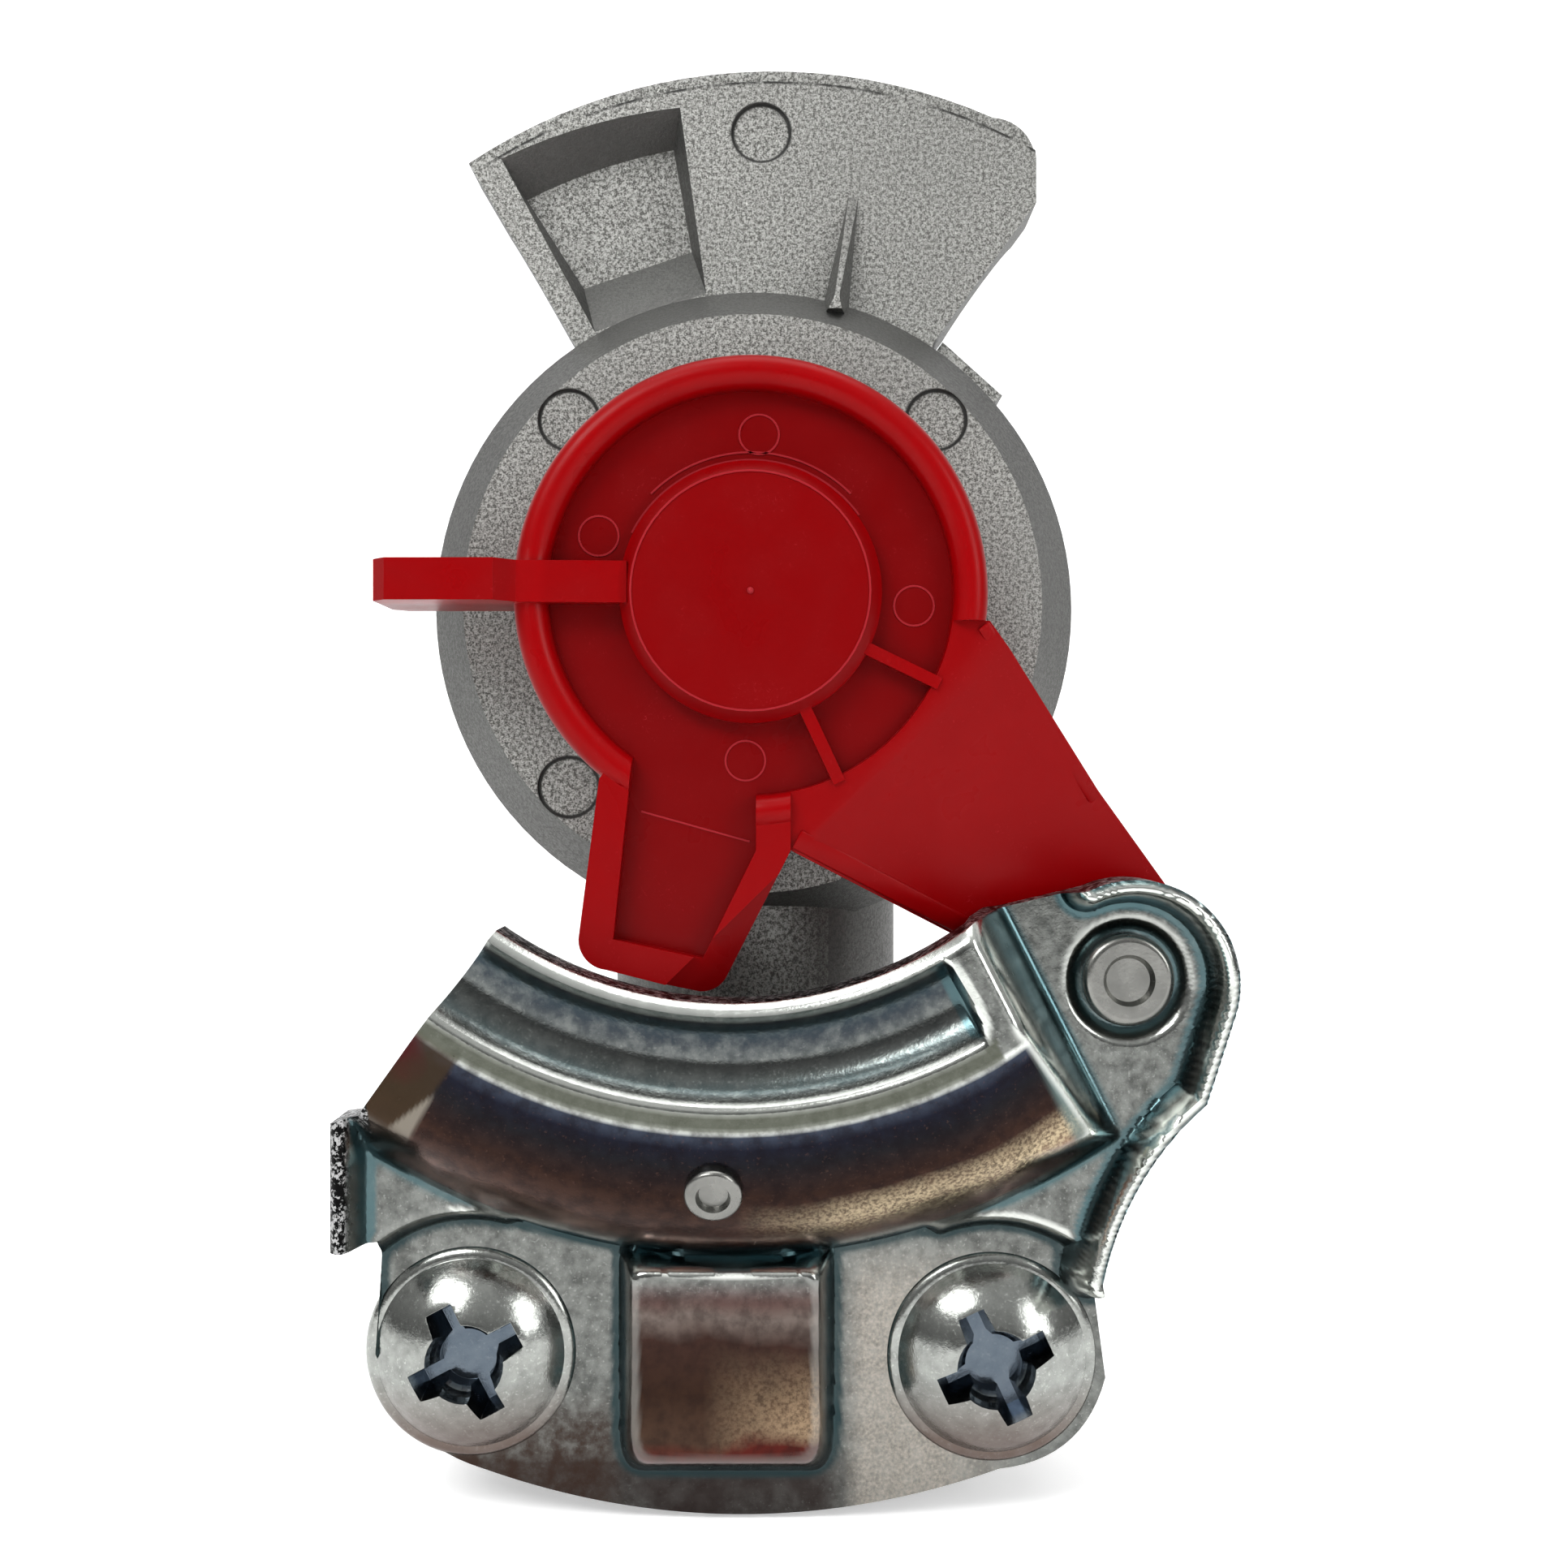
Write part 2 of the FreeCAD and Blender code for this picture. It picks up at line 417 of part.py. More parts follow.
def make_casting():
    """Cast body: fan, flange, barrel, neck, pad and bosses, then its bores."""
    body = new_body("body_casting")
    tip_height = "sqrt(fan_radius^2 - (fan_left_tip + fan_centre_side)^2) - fan_centre_drop"
    fan_turn = "fan_radius * sqrt(1 - ((fan_right_tip - fan_corner_radius - fan_centre_side) / fan_radius)^2)"
    corner_rise = f"({fan_turn} - fan_centre_drop)"
    fan = [
        ("fan_waist_side - 2.4", "fan_root_rise"),
        ("fan_waist_side", "fan_waist_rise"),
        ("fan_right_tip", "fan_right_low"),
        ("fan_right_tip", f"{corner_rise} - fan_corner_radius"),
        ("fan_right_tip - fan_corner_radius", corner_rise, "fan_corner_radius * 1.05", 1),
        ("-fan_left_tip", tip_height, "fan_radius", 1),
        ("-fan_waist_side", "fan_waist_rise"),
        ("-fan_waist_side + 2.4", "fan_root_rise"),
    ]
    outline = draw(body, "FanOutline", FRONT, "-fan_back_depth", paths=[fan])
    extrude(body, "PartDesign::Pad", "Fan", outline, "fan_back_depth - fan_front_depth")

    # The other head's plate grips the fan, and its trough runs in this groove.
    trough_centre = "crest_level - trough_depth + trough_round"
    groove_radius = "trough_round + sheet_thickness + groove_fit"
    round_section = ("trough_radius", trough_centre, groove_radius)
    groove = draw(body, "FanGrooveSection", PLAN, "0", circles=[round_section])
    turn(body, "PartDesign::Groove", "FanGroove", groove)

    step = [
        ("fan_radius - bead_width", "fan_front_depth - bead_width"),
        ("fan_radius + 2 * bead_width", "fan_front_depth - bead_width"),
        ("fan_radius + 2 * bead_width", "fan_front_depth + bead_drop"),
        ("fan_radius - bead_width", "fan_front_depth + bead_drop"),
    ]
    bead = draw(body, "FanBeadSection", PLAN, "-fan_centre_drop", paths=[step], aside="fan_centre_side")
    turn(body, "PartDesign::Groove", "FanBead", bead)

    mouth = pocket("0", "0", "0")
    pocket_top = draw(body, "PocketMouth", FRONT, "-fan_front_depth + cut_clearance", paths=[mouth])
    inset = pocket("pocket_draft", "pocket_upper_run", "pocket_lower_run")
    pocket_floor = draw(body, "PocketFloor", FRONT, "-fan_front_depth - pocket_depth", paths=[inset])
    loft(body, "PartDesign::SubtractiveLoft", "FanPocket", pocket_top, pocket_floor)

    # The flange stands in front of the fan, and the barrel behind it holds the valve.
    section = [
        ("0", "0"),
        ("face_radius", "0"),
        ("flange_radius", "bevel_depth"),
        ("flange_radius", "flange_depth"),
        ("barrel_radius", "shoulder_depth"),
        ("barrel_radius", "barrel_depth - rear_chamfer"),
        ("barrel_radius - rear_chamfer", "barrel_depth"),
        ("0", "barrel_depth"),
    ]
    flange = draw(body, "FlangeSection", PLAN, "0", paths=[section])
    turn(body, "PartDesign::Revolution", "FlangeAndBarrel", flange)

    foot = draw(body, "GussetFoot", FRONT, "-fan_front_depth - lap", paths=[gusset("gusset_tip_rise", "1")])
    ridge = draw(body, "GussetRidge", FRONT, "-fan_front_depth + gusset_height",
                 paths=[gusset("flange_radius - gusset_ridge_root", "gusset_ridge_share")])
    loft(body, "PartDesign::AdditiveLoft", "Gusset", foot, ridge)

    lug = [
        radial("lug_angle - lug_spread", "barrel_radius - lug_root"),
        radial("lug_angle - lug_spread", "lug_reach"),
        radial("lug_angle + lug_spread", "lug_reach"),
        radial("lug_angle + lug_spread", "barrel_radius - lug_root"),
    ]
    lug_sketch = draw(body, "LugOutline", FRONT, "-shoulder_depth", paths=[lug])
    extrude(body, "PartDesign::Pad", "Lug", lug_sketch, "shoulder_depth - bevel_depth - lug_root")

    neck_circle = ("0", "neck_axis_depth", "neck_radius")
    neck = draw(body, "NeckSection", PLAN, "-neck_end_drop", circles=[neck_circle])
    extrude(body, "PartDesign::Pad", "Neck", neck, "neck_end_drop - barrel_radius / 2")

    pad = [
        ("right_screw_side", "-right_screw_drop + pad_radius", "pad_radius", 1),
        ("-left_screw_side", "-left_screw_drop + pad_radius"),
        ("-left_screw_side - pad_radius", "-left_screw_drop", "pad_radius", 1),
        ("-left_screw_side", "-left_screw_drop - pad_radius", "pad_radius", 1),
        ("right_screw_side", "-right_screw_drop - pad_radius"),
        ("right_screw_side + pad_radius", "-right_screw_drop", "pad_radius", 1),
    ]
    pad_sketch = draw(body, "PadOutline", FRONT, "-pad_thickness", paths=[pad])
    extrude(body, "PartDesign::Pad", "Pad", pad_sketch, "pad_thickness")
    places = [("-left_screw_side", "-left_screw_drop"), ("right_screw_side", "-right_screw_drop")]
    rounds = [place + ("boss_radius",) for place in places]
    bosses = draw(body, "BossSection", FRONT, "-boss_depth", circles=rounds)
    extrude(body, "PartDesign::Pad", "Bosses", bosses, "boss_depth - pad_thickness / 2")

    holes = [place + ("screw_radius + running_fit",) for place in places]
    screw_holes = draw(body, "ScrewHoleSection", FRONT, "0", circles=holes)
    extrude(body, "PartDesign::Pocket", "ScrewHoles", screw_holes, "screw_reach + 1")

    bore = [
        ("0", "-1"),
        ("seal_mouth_radius", "-1"),
        ("seal_mouth_radius", "seal_lip_depth"),
        ("seal_groove_radius", "seal_lip_depth"),
        ("seal_groove_radius", "seal_groove_depth"),
        ("seat_hole_radius", "seal_groove_depth"),
        ("seat_hole_radius", "seat_depth"),
        ("chamber_radius", "seat_depth"),
        ("chamber_radius", "barrel_depth - plug_reach"),
        ("plug_bore_radius", "barrel_depth - plug_reach"),
        ("plug_bore_radius", "barrel_depth - 2 * ring_section - seat_gap"),
        ("plug_bore_radius + ring_section", "barrel_depth - 2 * ring_section - seat_gap"),
        ("plug_bore_radius + ring_section", "barrel_depth + 1"),
        ("0", "barrel_depth + 1"),
    ]
    turn(body, "PartDesign::Groove", "ValveBore", draw(body, "ValveBoreSection", PLAN, "0", paths=[bore]))

    port_circle = ("0", "neck_axis_depth", "port_radius")
    port = draw(body, "PortSection", PLAN, "-neck_end_drop", circles=[port_circle])
    extrude(body, "PartDesign::Pocket", "Port", port, "port_length", reverse=True)
    passage_circle = ("0", "neck_axis_depth", "passage_radius")
    passage = draw(body, "PassageSection", PLAN, "-neck_end_drop", circles=[passage_circle])
    passage_length = "neck_end_drop - chamber_radius + 3"
    extrude(body, "PartDesign::Pocket", "Passage", passage, passage_length, reverse=True)

    marks = [radial(f"{angle}", "mark_circle") + ("mark_radius",) for angle in (45, 135, 225, 315)]
    mark_sketch = draw(body, "FlangeMarks", FRONT, "0", circles=marks)
    extrude(body, "PartDesign::Pocket", "FlangeEjectorMarks", mark_sketch, "mark_depth")
    mark = ("fan_mark_side", "fan_mark_rise", "mark_radius")
    fan_mark = draw(body, "FanMark", FRONT, "-fan_front_depth", circles=[mark])
    extrude(body, "PartDesign::Pocket", "FanEjectorMark", fan_mark, "mark_depth")
    return body


def pocket(draft, upper, lower):
    """Outline of the fan's pocket, with its walls moved inwards."""
    edge = f"(flange_radius + pocket_gap + {lower})"
    left_foot = f"-pocket_left_foot - pocket_left_lean * {lower} + {draft}"
    right_foot = f"-pocket_right_foot - pocket_right_lean * {lower} - {draft}"
    left_top = f"-pocket_left_top + {draft} + pocket_top_lean * {upper}"
    return [
        (right_foot, f"sqrt({edge}^2 - ({right_foot})^2)"),
        (f"-pocket_right_top - {draft}", f"pocket_right_rise - {upper}"),
        (left_top, f"pocket_left_rise - {upper}", "fan_radius", 1),
        (left_foot, f"sqrt({edge}^2 - ({left_foot})^2)"),
    ]


def gusset(tip, share):
    """Outline of the gusset at one level, from its foot on the flange to its tip."""
    half = f"gusset_width * {share} / 2"
    start = "(flange_radius - gusset_root)"
    slope = f"gusset_lean * ({tip} - {start}) / (gusset_tip_rise - {start})"
    return [
        (f"gusset_side - {half}", start),
        (f"gusset_side + {half}", start),
        (f"gusset_side + {slope} + {half} * gusset_tip_share", tip),
        (f"gusset_side + {slope} - {half} * gusset_tip_share", tip),
    ]


def at(body, across, depth, along):
    """Place a body that is modelled round its own Y axis."""
    for axis, text in (("x", across), ("y", depth), ("z", along)):
        body.setExpression(f"Placement.Base.{axis}", bound(text))


def make_screws():
    """Two pan-head screws with cross recesses, each on its own seat of the plate."""
    for side, sign in (("left", "-"), ("right", "")):
        body = new_body(f"screw_{side}")
        top = "(head_radius - head_shoulder)"
        dome = f"({top}^2 + (head_height - head_edge)^2) / (2 * (head_height - head_edge))"
        section = [
            ("0", "-sheet_thickness - head_height"),
            (top, "-sheet_thickness - head_edge", dome, 1),
            ("head_radius", "-sheet_thickness - head_edge + head_shoulder", "head_shoulder", 1),
            ("head_radius", "-sheet_thickness"),
            ("screw_radius", "-sheet_thickness"),
            ("screw_radius", "screw_reach - screw_bevel"),
            ("screw_radius - screw_bevel", "screw_reach"),
            ("0", "screw_reach"),
        ]
        turn(body, "PartDesign::Revolution", "Turned", draw(body, "Section", PLAN, "0", paths=[section]))
        level = "sheet_thickness + head_height"
        wings = []
        for across, along in (("recess_span", "recess_width"), ("recess_width", "recess_span")):
            wings.append([(f"{across} / 2", f"-{along} / 2"), (f"{across} / 2", f"{along} / 2"),
                          (f"-{across} / 2", f"{along} / 2"), (f"-{across} / 2", f"-{along} / 2")])
        for wing, corners in zip(("Flat", "Upright"), wings):
            recess = draw(body, f"{wing}Wing", FRONT, level, paths=[corners])
            cut = extrude(body, "PartDesign::Pocket", f"{wing}Recess", recess, "recess_depth")
            cut.TaperAngle = size["recess_taper"]
        core = draw(body, "Core", FRONT, level, circles=[("0", "0", "recess_core")])
        extrude(body, "PartDesign::Pocket", "CoreRecess", core, "recess_depth")
        at(body, f"{sign}{side}_screw_side", "0", f"-{side}_screw_drop")
        body.Placement.Rotation = FreeCAD.Rotation(FreeCAD.Vector(0, -1, 0), size[f"{side}_screw_turn"])


def make_turned(name, section):
    """One piece that is turned or moulded round the Y axis."""
    body = new_body(name)
    turn(body, "PartDesign::Revolution", "Turned", draw(body, "Section", PLAN, "0", paths=[section]))
    return body


def make_seal_and_valve():
    """Sealing ring in the face, and the shut-off valve behind it."""
    outer = "seal_groove_radius - seat_gap"
    front = "seal_mouth_radius - seat_gap"
    make_turned("sealing_ring", [
        ("seal_inner_radius", "seal_groove_depth"),
        ("seal_inner_radius", "-seal_stand + seal_bead_radius"),
        ("seal_inner_radius + seal_bead_radius", "-seal_stand", "seal_bead_radius", -1),
        (f"{front} - seal_bead_radius", "-seal_stand"),
        (front, "-seal_stand + seal_bead_radius", "seal_bead_radius", -1),
        (front, "seal_lip_depth"),
        (outer, "seal_lip_depth"),
        (outer, "seal_groove_depth"),
    ])
    rubber_front = "seat_depth + valve_gap"
    rubber_back = "seat_depth + valve_gap + valve_rubber"
    collar_back = "seat_depth + valve_gap + valve_rubber + collar_thickness"
    stem_end = "barrel_depth - plug_reach + stem_overlap"
    make_turned("valve_poppet", [
        ("0", "nose_depth"),
        ("nose_radius - 1.5", "nose_depth"),
        ("nose_radius", "nose_depth + 1.5"),
        ("nose_radius", rubber_back),
        ("valve_radius", rubber_back),
        ("valve_radius", collar_back),
        ("stem_radius", collar_back),
        ("stem_radius", f"{stem_end} - 0.5"),
        ("stem_radius - 0.5", stem_end),
        ("0", stem_end),
    ])
    make_turned("valve_seal", [
        ("nose_radius", rubber_front),
        ("valve_radius - 0.3", rubber_front),
        ("valve_radius - 0.3", rubber_back),
        ("nose_radius", rubber_back),
    ])

    plug_front = "barrel_depth - plug_reach"
    core = "plug_bore_radius - ring_section - seat_gap / 2"
    rear = "barrel_depth + plug_flange_thickness"
    body = make_turned("chamber_plug", [
        ("0", f"{plug_front} + stem_overlap + valve_travel + 1"),
        ("stem_radius + running_fit", f"{plug_front} + stem_overlap + valve_travel + 1"),
        ("stem_radius + running_fit", plug_front),
        ("spring_radius - spring_wire - 1", plug_front),
        ("spring_radius - spring_wire - 1", f"{plug_front} + plug_cup_depth"),
        ("spring_radius + spring_wire + 1", f"{plug_front} + plug_cup_depth"),
        ("spring_radius + spring_wire + 1", plug_front),
        ("plug_bore_radius - running_fit - 1", plug_front),
        ("plug_bore_radius - running_fit", f"{plug_front} + 1"),
        ("plug_bore_radius - running_fit", "barrel_depth - 2 * ring_section - seat_gap"),
        (core, "barrel_depth - 2 * ring_section - seat_gap"),
        (core, "barrel_depth"),
        ("plug_flange_radius", "barrel_depth"),
        ("plug_flange_radius", f"{rear} - 0.8"),
        ("plug_flange_radius - 0.8", rear),
        ("0", rear),
    ])
    hexagon = [radial(f"{angle}", "hexagon_radius") for angle in range(0, 360, 60)]
    rear_level = "-barrel_depth - plug_flange_thickness"
    outline = draw(body, "HexagonOutline", FRONT, rear_level, paths=[hexagon])
    extrude(body, "PartDesign::Pad", "Hexagon", outline, "hexagon_height", reverse=True)

    ring = doc.addObject("Part::Torus", "plug_o_ring")
    ring.Label = "plug_o_ring"
    ring.setExpression("Radius1", bound("plug_bore_radius"))
    ring.setExpression("Radius2", bound("ring_section - seat_gap / 4"))
    ring.Placement.Rotation = FreeCAD.Rotation(FreeCAD.Vector(1, 0, 0), 90)
    ring.setExpression("Placement.Base.y", bound("barrel_depth - ring_section - seat_gap / 2"))

    helix = doc.addObject("Part::Helix", "SpringLine")
    start = f"{collar_back} + spring_wire + seat_gap"
    finish = f"{plug_front} + plug_cup_depth - spring_wire - seat_gap"
    helix.setExpression("Radius", bound("spring_radius"))
    helix.setExpression("Height", bound(f"{finish} - ({start})"))
    helix.setExpression("Pitch", bound(f"({finish} - ({start})) / spring_turns"))
    # One face for every half turn keeps a fine mesh of the swept wire true.
    helix.SegmentLength = 0.5
    wire = doc.addObject("Part::Circle", "SpringWire")
    wire.setExpression("Radius", bound("spring_wire"))
    wire.setExpression("Placement.Base.x", bound("spring_radius"))
    wire.Placement.Rotation = FreeCAD.Rotation(FreeCAD.Vector(1, 0, 0), 90)
    spring = doc.addObject("Part::Sweep", "valve_spring")
    spring.Label = "valve_spring"
    spring.Sections = [wire]
    spring.Spine = (helix, [])
    spring.Solid = True
    spring.Frenet = True
    spring.Placement.Rotation = FreeCAD.Rotation(FreeCAD.Vector(1, 0, 0), -90)
    spring.setExpression("Placement.Base.y", bound(start))


def make_pivot():
    """Rivet and washer that carry the dust cap on the plate's ear."""
    seat = "-panel_level + dimple_depth"
    washer_front = "-lobe_under_level + seat_gap / 2"
    washer_back = f"{washer_front} + washer_thickness"
    rivet = make_turned("pivot_rivet", [
        ("0", f"{seat} - pivot_head_height + rivet_dimple_depth"),
        ("rivet_dimple_radius", f"{seat} - pivot_head_height + rivet_dimple_depth"),
        ("rivet_dimple_radius + 0.3", f"{seat} - pivot_head_height"),
        ("pivot_head_radius - 0.6", f"{seat} - pivot_head_height"),
        ("pivot_head_radius", f"{seat} - pivot_head_height + 0.6", "0.6", 1),
        ("pivot_head_radius", seat),
        ("pivot_radius", seat),
        ("pivot_radius", washer_back),
        ("tail_radius", washer_back),
        ("tail_radius", f"{washer_back} + tail_height - 0.6"),
        ("tail_radius - 0.6", f"{washer_back} + tail_height", "0.6", 1),
        ("0", f"{washer_back} + tail_height"),
    ])
    at(rivet, "pivot_side", "0", "-pivot_drop")
    washer = make_turned("pivot_washer", [
        ("pivot_radius + running_fit", washer_front),
        ("washer_radius", washer_front),
        ("washer_radius", washer_back),
        ("pivot_radius + running_fit", washer_back),
    ])
    at(washer, "pivot_side", "0", "-pivot_drop")


def detent_frame():
    """Give the detent rivet's place on the ridge's outer face, and the ridge's slope there in degrees."""
    across = -size["detent_side"] - size["channel_side"]
    along = -size["detent_drop"] - size["channel_rise"]
    distance = math.hypot(across, along)
    rise = size["crest_level"] - size["sheet_thickness"]
    slope = math.asin((distance - size["crest_radius"]) / rise)
    level = size["sheet_thickness"] + rise * math.cos(slope)
    lean = math.sin(slope) / distance
    way = FreeCAD.Vector(across * lean, -math.cos(slope), along * lean)
    return FreeCAD.Vector(-size["detent_side"], -level, -size["detent_drop"]), way


def make_detent():
    """Small rivet through the ridge, whose dome clicks into the other head's fan."""
    dome = "(detent_dome_height - detent_seat)"
    rivet = make_turned("detent_rivet", [
        ("0", "-detent_head_height + rivet_dimple_depth"),
        ("detent_head_radius / 2", "-detent_head_height + rivet_dimple_depth"),
        ("detent_head_radius / 2 + 0.2", "-detent_head_height"),
        ("detent_head_radius - 0.4", "-detent_head_height"),
        ("detent_head_radius", "-detent_head_height + 0.4", "0.4", 1),
        ("detent_head_radius", "detent_seat"),
        ("detent_radius", "detent_seat"),
        ("detent_radius", "sheet_thickness - detent_seat / 2"),
        ("detent_head_radius", "sheet_thickness - detent_seat / 2"),
        ("detent_head_radius", "sheet_thickness + detent_seat"),
        ("0", "sheet_thickness + detent_dome_height", f"(detent_head_radius^2 + {dome}^2) / (2 * {dome})", 1),
    ])
    place, way = detent_frame()
    rivet.Placement = FreeCAD.Placement(place, FreeCAD.Rotation(FreeCAD.Vector(0, -1, 0), way))


def make_cap():
    """Dust cap: a bowl with raised rim and middle, a fin to push it, a foot and the arm that it swings on."""
    body = new_body("dust_cap")
    rim_round = "(cap_radius - cap_inner_radius) / 2"
    bowl = [
        ("0", "-cap_top_level"),
        ("0", "-cap_top_level + cap_wall"),
        ("cap_boss_radius - cap_wall", "-cap_top_level + cap_wall"),
        ("cap_boss_radius - cap_wall", "-cap_floor_level + cap_wall"),
        ("cap_inner_radius", "-cap_floor_level + cap_wall"),
        ("cap_inner_radius", "-cap_under_level"),
        ("cap_radius", "-cap_under_level"),
        ("cap_radius", f"-cap_top_level + {rim_round}"),
        (f"cap_radius - {rim_round}", "-cap_top_level", rim_round, -1),
        ("cap_inner_radius", f"-cap_top_level + {rim_round}", rim_round, -1),
        ("cap_inner_radius", "-cap_floor_level"),
        ("cap_boss_radius", "-cap_floor_level"),
        ("cap_boss_radius", "-cap_top_level + cap_boss_bevel"),
        ("cap_boss_radius - cap_boss_bevel", "-cap_top_level"),
    ]
    turn(body, "PartDesign::Revolution", "Bowl", draw(body, "BowlSection", PLAN, "0", paths=[bowl]))

    foot_root = "(cap_inner_radius + join)"
    foot = [
        ("-foot_left_root", "-foot_left_root_drop"),
        ("-foot_left_tip", "-foot_left_tip_drop"),
        ("-foot_left_tip + foot_corner", "-foot_left_tip_drop - foot_left_corner", "foot_left_corner", 1),
        ("-foot_right_tip - foot_corner", "-foot_tip_drop"),
        ("-foot_right_tip", "-foot_tip_drop + foot_corner_rise", "foot_corner", 1),
        ("crotch_side", "-crotch_drop"),
        ("crotch_side", f"-sqrt({foot_root}^2 - crotch_side^2)"),
        radial("180 deg + atan(foot_left_root_drop / foot_left_root)", foot_root) + (foot_root, -1),
    ]
    outline = draw(body, "FootOutline", FRONT, "cap_under_level", paths=[foot])
    extrude(body, "PartDesign::Pad", "Foot", outline, "foot_level - cap_under_level")

    reach = "sqrt((pivot_side - arm_root_side)^2 + (pivot_drop - arm_root_drop)^2)"
    lean = "atan((pivot_drop - arm_root_drop) / (pivot_side - arm_root_side))"
    tangent = f"(90 deg - {lean} + asin(lobe_radius / {reach}))"
    lobe = []
    for angle in ("180 deg", f"(270 deg + {tangent} / 2)", tangent):
        lobe.append((f"pivot_side + lobe_radius * cos({angle})", f"-pivot_drop + lobe_radius * sin({angle})"))
    arm_steps = [
        ("Arm", "PartDesign::Pad", "(cap_inner_radius + join)", "cap_under_level",
         "arm_level - cap_under_level"),
        ("ArmTop", "PartDesign::Pocket", "(cap_inner_radius - lap)", "cap_top_level + cut_height",
         "cap_top_level + cut_height - arm_level"),
    ]
    for name, kind, inner, start, length in arm_steps:
        arm = [
            ("crotch_side", "-crotch_drop"),
            lobe[0],
            lobe[1] + ("lobe_radius", 1),
            lobe[2] + ("lobe_radius", 1),
            ("arm_root_side", "-arm_root_drop"),
            (f"sqrt({inner}^2 - arm_root_drop^2)", "-arm_root_drop"),
            ("crotch_side", f"-sqrt({inner}^2 - crotch_side^2)", inner, -1),
        ]
        extrude(body, kind, name, draw(body, f"{name}Outline", FRONT, start, paths=[arm]), length)

    slope = [
        ("arm_slope_start", "-arm_level"),
        ("arm_slope_end", "-lobe_level"),
        ("arm_slope_end + 4 * lobe_radius", "-lobe_level"),
        ("arm_slope_end + 4 * lobe_radius", "-2 * cap_top_level"),
        ("arm_slope_start", "-2 * cap_top_level"),
    ]
    side = draw(body, "ArmSlopeSide", PLAN, "0", paths=[slope], swing="atan(pivot_drop / pivot_side)")
    extrude(body, "PartDesign::Pocket", "ArmSlope", side, "6 * cap_radius", symmetric=True)
    round_end = ("pivot_side", "-pivot_drop", "lobe_radius")
    lobe_sketch = draw(body, "LobeSection", FRONT, "lobe_under_level", circles=[round_end])
    extrude(body, "PartDesign::Pad", "Lobe", lobe_sketch, "lobe_level - lobe_under_level")
    hole = ("pivot_side", "-pivot_drop", "pivot_radius + running_fit")
    hole_sketch = draw(body, "PivotHoleSection", FRONT, "lobe_level", circles=[hole])
    extrude(body, "PartDesign::Pocket", "PivotHole", hole_sketch, "lobe_level - lobe_under_level")

    inside_root = "(cap_inner_radius - 2 * join)"
    inside = [
        ("-foot_left_root + foot_rim", f"-sqrt({inside_root}^2 - (foot_left_root - foot_rim)^2)"),
        ("-foot_left_tip + foot_rim", "-foot_left_tip_drop"),
        ("-foot_right_tip - foot_right_rim", "-foot_tip_drop + foot_rim"),
        ("crotch_side - foot_rim", "-crotch_drop"),
        ("crotch_side - foot_rim", f"-{inside_root}"),
    ]
    recess = draw(body, "FootRecessOutline", FRONT, "cap_top_level + cut_height", paths=[inside])
    extrude(body, "PartDesign::Pocket", "FootRecess", recess, "cap_top_level + cut_height - cap_floor_level")
    hollow = draw(body, "FootHollowOutline", FRONT, "cap_under_level", paths=[inside])
    hollow_depth = "cap_floor_level - cap_wall - cap_under_level"
    extrude(body, "PartDesign::Pocket", "FootHollow", hollow, hollow_depth, reverse=True)

    inner_end = "-cap_boss_radius + fin_join"
    fin = [
        (inner_end, "-cap_floor_level + join"),
        (inner_end, "-cap_top_level + fin_root_drop"),
        ("-fin_grip_start + fin_grip_run", "-cap_top_level - fin_swell"),
        ("-fin_grip_start", "-fin_grip_level"),
        ("-fin_reach + fin_corner", "-fin_grip_level"),
        ("-fin_reach", "-fin_grip_level + fin_corner"),
        ("-fin_reach", "-fin_under_level - fin_corner"),
        ("-fin_reach + fin_corner", "-fin_under_level"),
        ("-cap_radius + join", "-fin_under_level"),
        ("-cap_radius + join", "-cap_floor_level + join"),
    ]
    fin_sketch = draw(body, "FinSide", PLAN, "fin_rise", paths=[fin])
    extrude(body, "PartDesign::Pad", "Fin", fin_sketch, "fin_thickness", symmetric=True)

    spokes = []
    for angle in ("right_spoke_angle", "left_spoke_angle"):
        spokes.append([
            radial(angle, "cap_boss_radius - join", "-spoke_width / 2"),
            radial(angle, "cap_inner_radius + join", "-spoke_width / 2"),
            radial(angle, "cap_inner_radius + join", "spoke_width / 2"),
            radial(angle, "cap_boss_radius - join", "spoke_width / 2"),
        ])
    spoke_sketch = draw(body, "SpokeOutlines", FRONT, "cap_floor_level - lap", paths=spokes)
    extrude(body, "PartDesign::Pad", "Spokes", spoke_sketch, "spoke_level - cap_floor_level + lap")
    return body


def upright_prism(section, way, reach):
    """Prism of a section given as (distance along way, level), running reach to both sides."""
    along = FreeCAD.Vector(math.cos(way), math.sin(way), 0)
    across = FreeCAD.Vector(-math.sin(way), math.cos(way), 0)
    corners = [along * distance + FreeCAD.Vector(0, 0, level) - across * reach for distance, level in section]
    return Part.Face(Part.makePolygon(corners + corners[:1])).extrude(across * 2 * reach)


def spin(face):
    """Sweep a section in the plane of radius and level round the channel's centre."""
    centre = FreeCAD.Vector(size["channel_side"], size["channel_rise"], 0)
    up = FreeCAD.Vector(0, 0, 1)
    spare = size["spare_angle"]
    face.rotate(FreeCAD.Vector(), up, size["mouth_angle"] - spare)
    face.translate(centre)
    return face.revolve(centre, up, size["close_angle"] - size["mouth_angle"] + 2 * spare)


def bowed(start, finish, bow):
    """Give the middle of an arc that bows out to the right of the way between two points."""
    way = finish - start
    return (start + finish) * 0.5 + FreeCAD.Vector(way.y, -way.x, 0).normalize() * bow


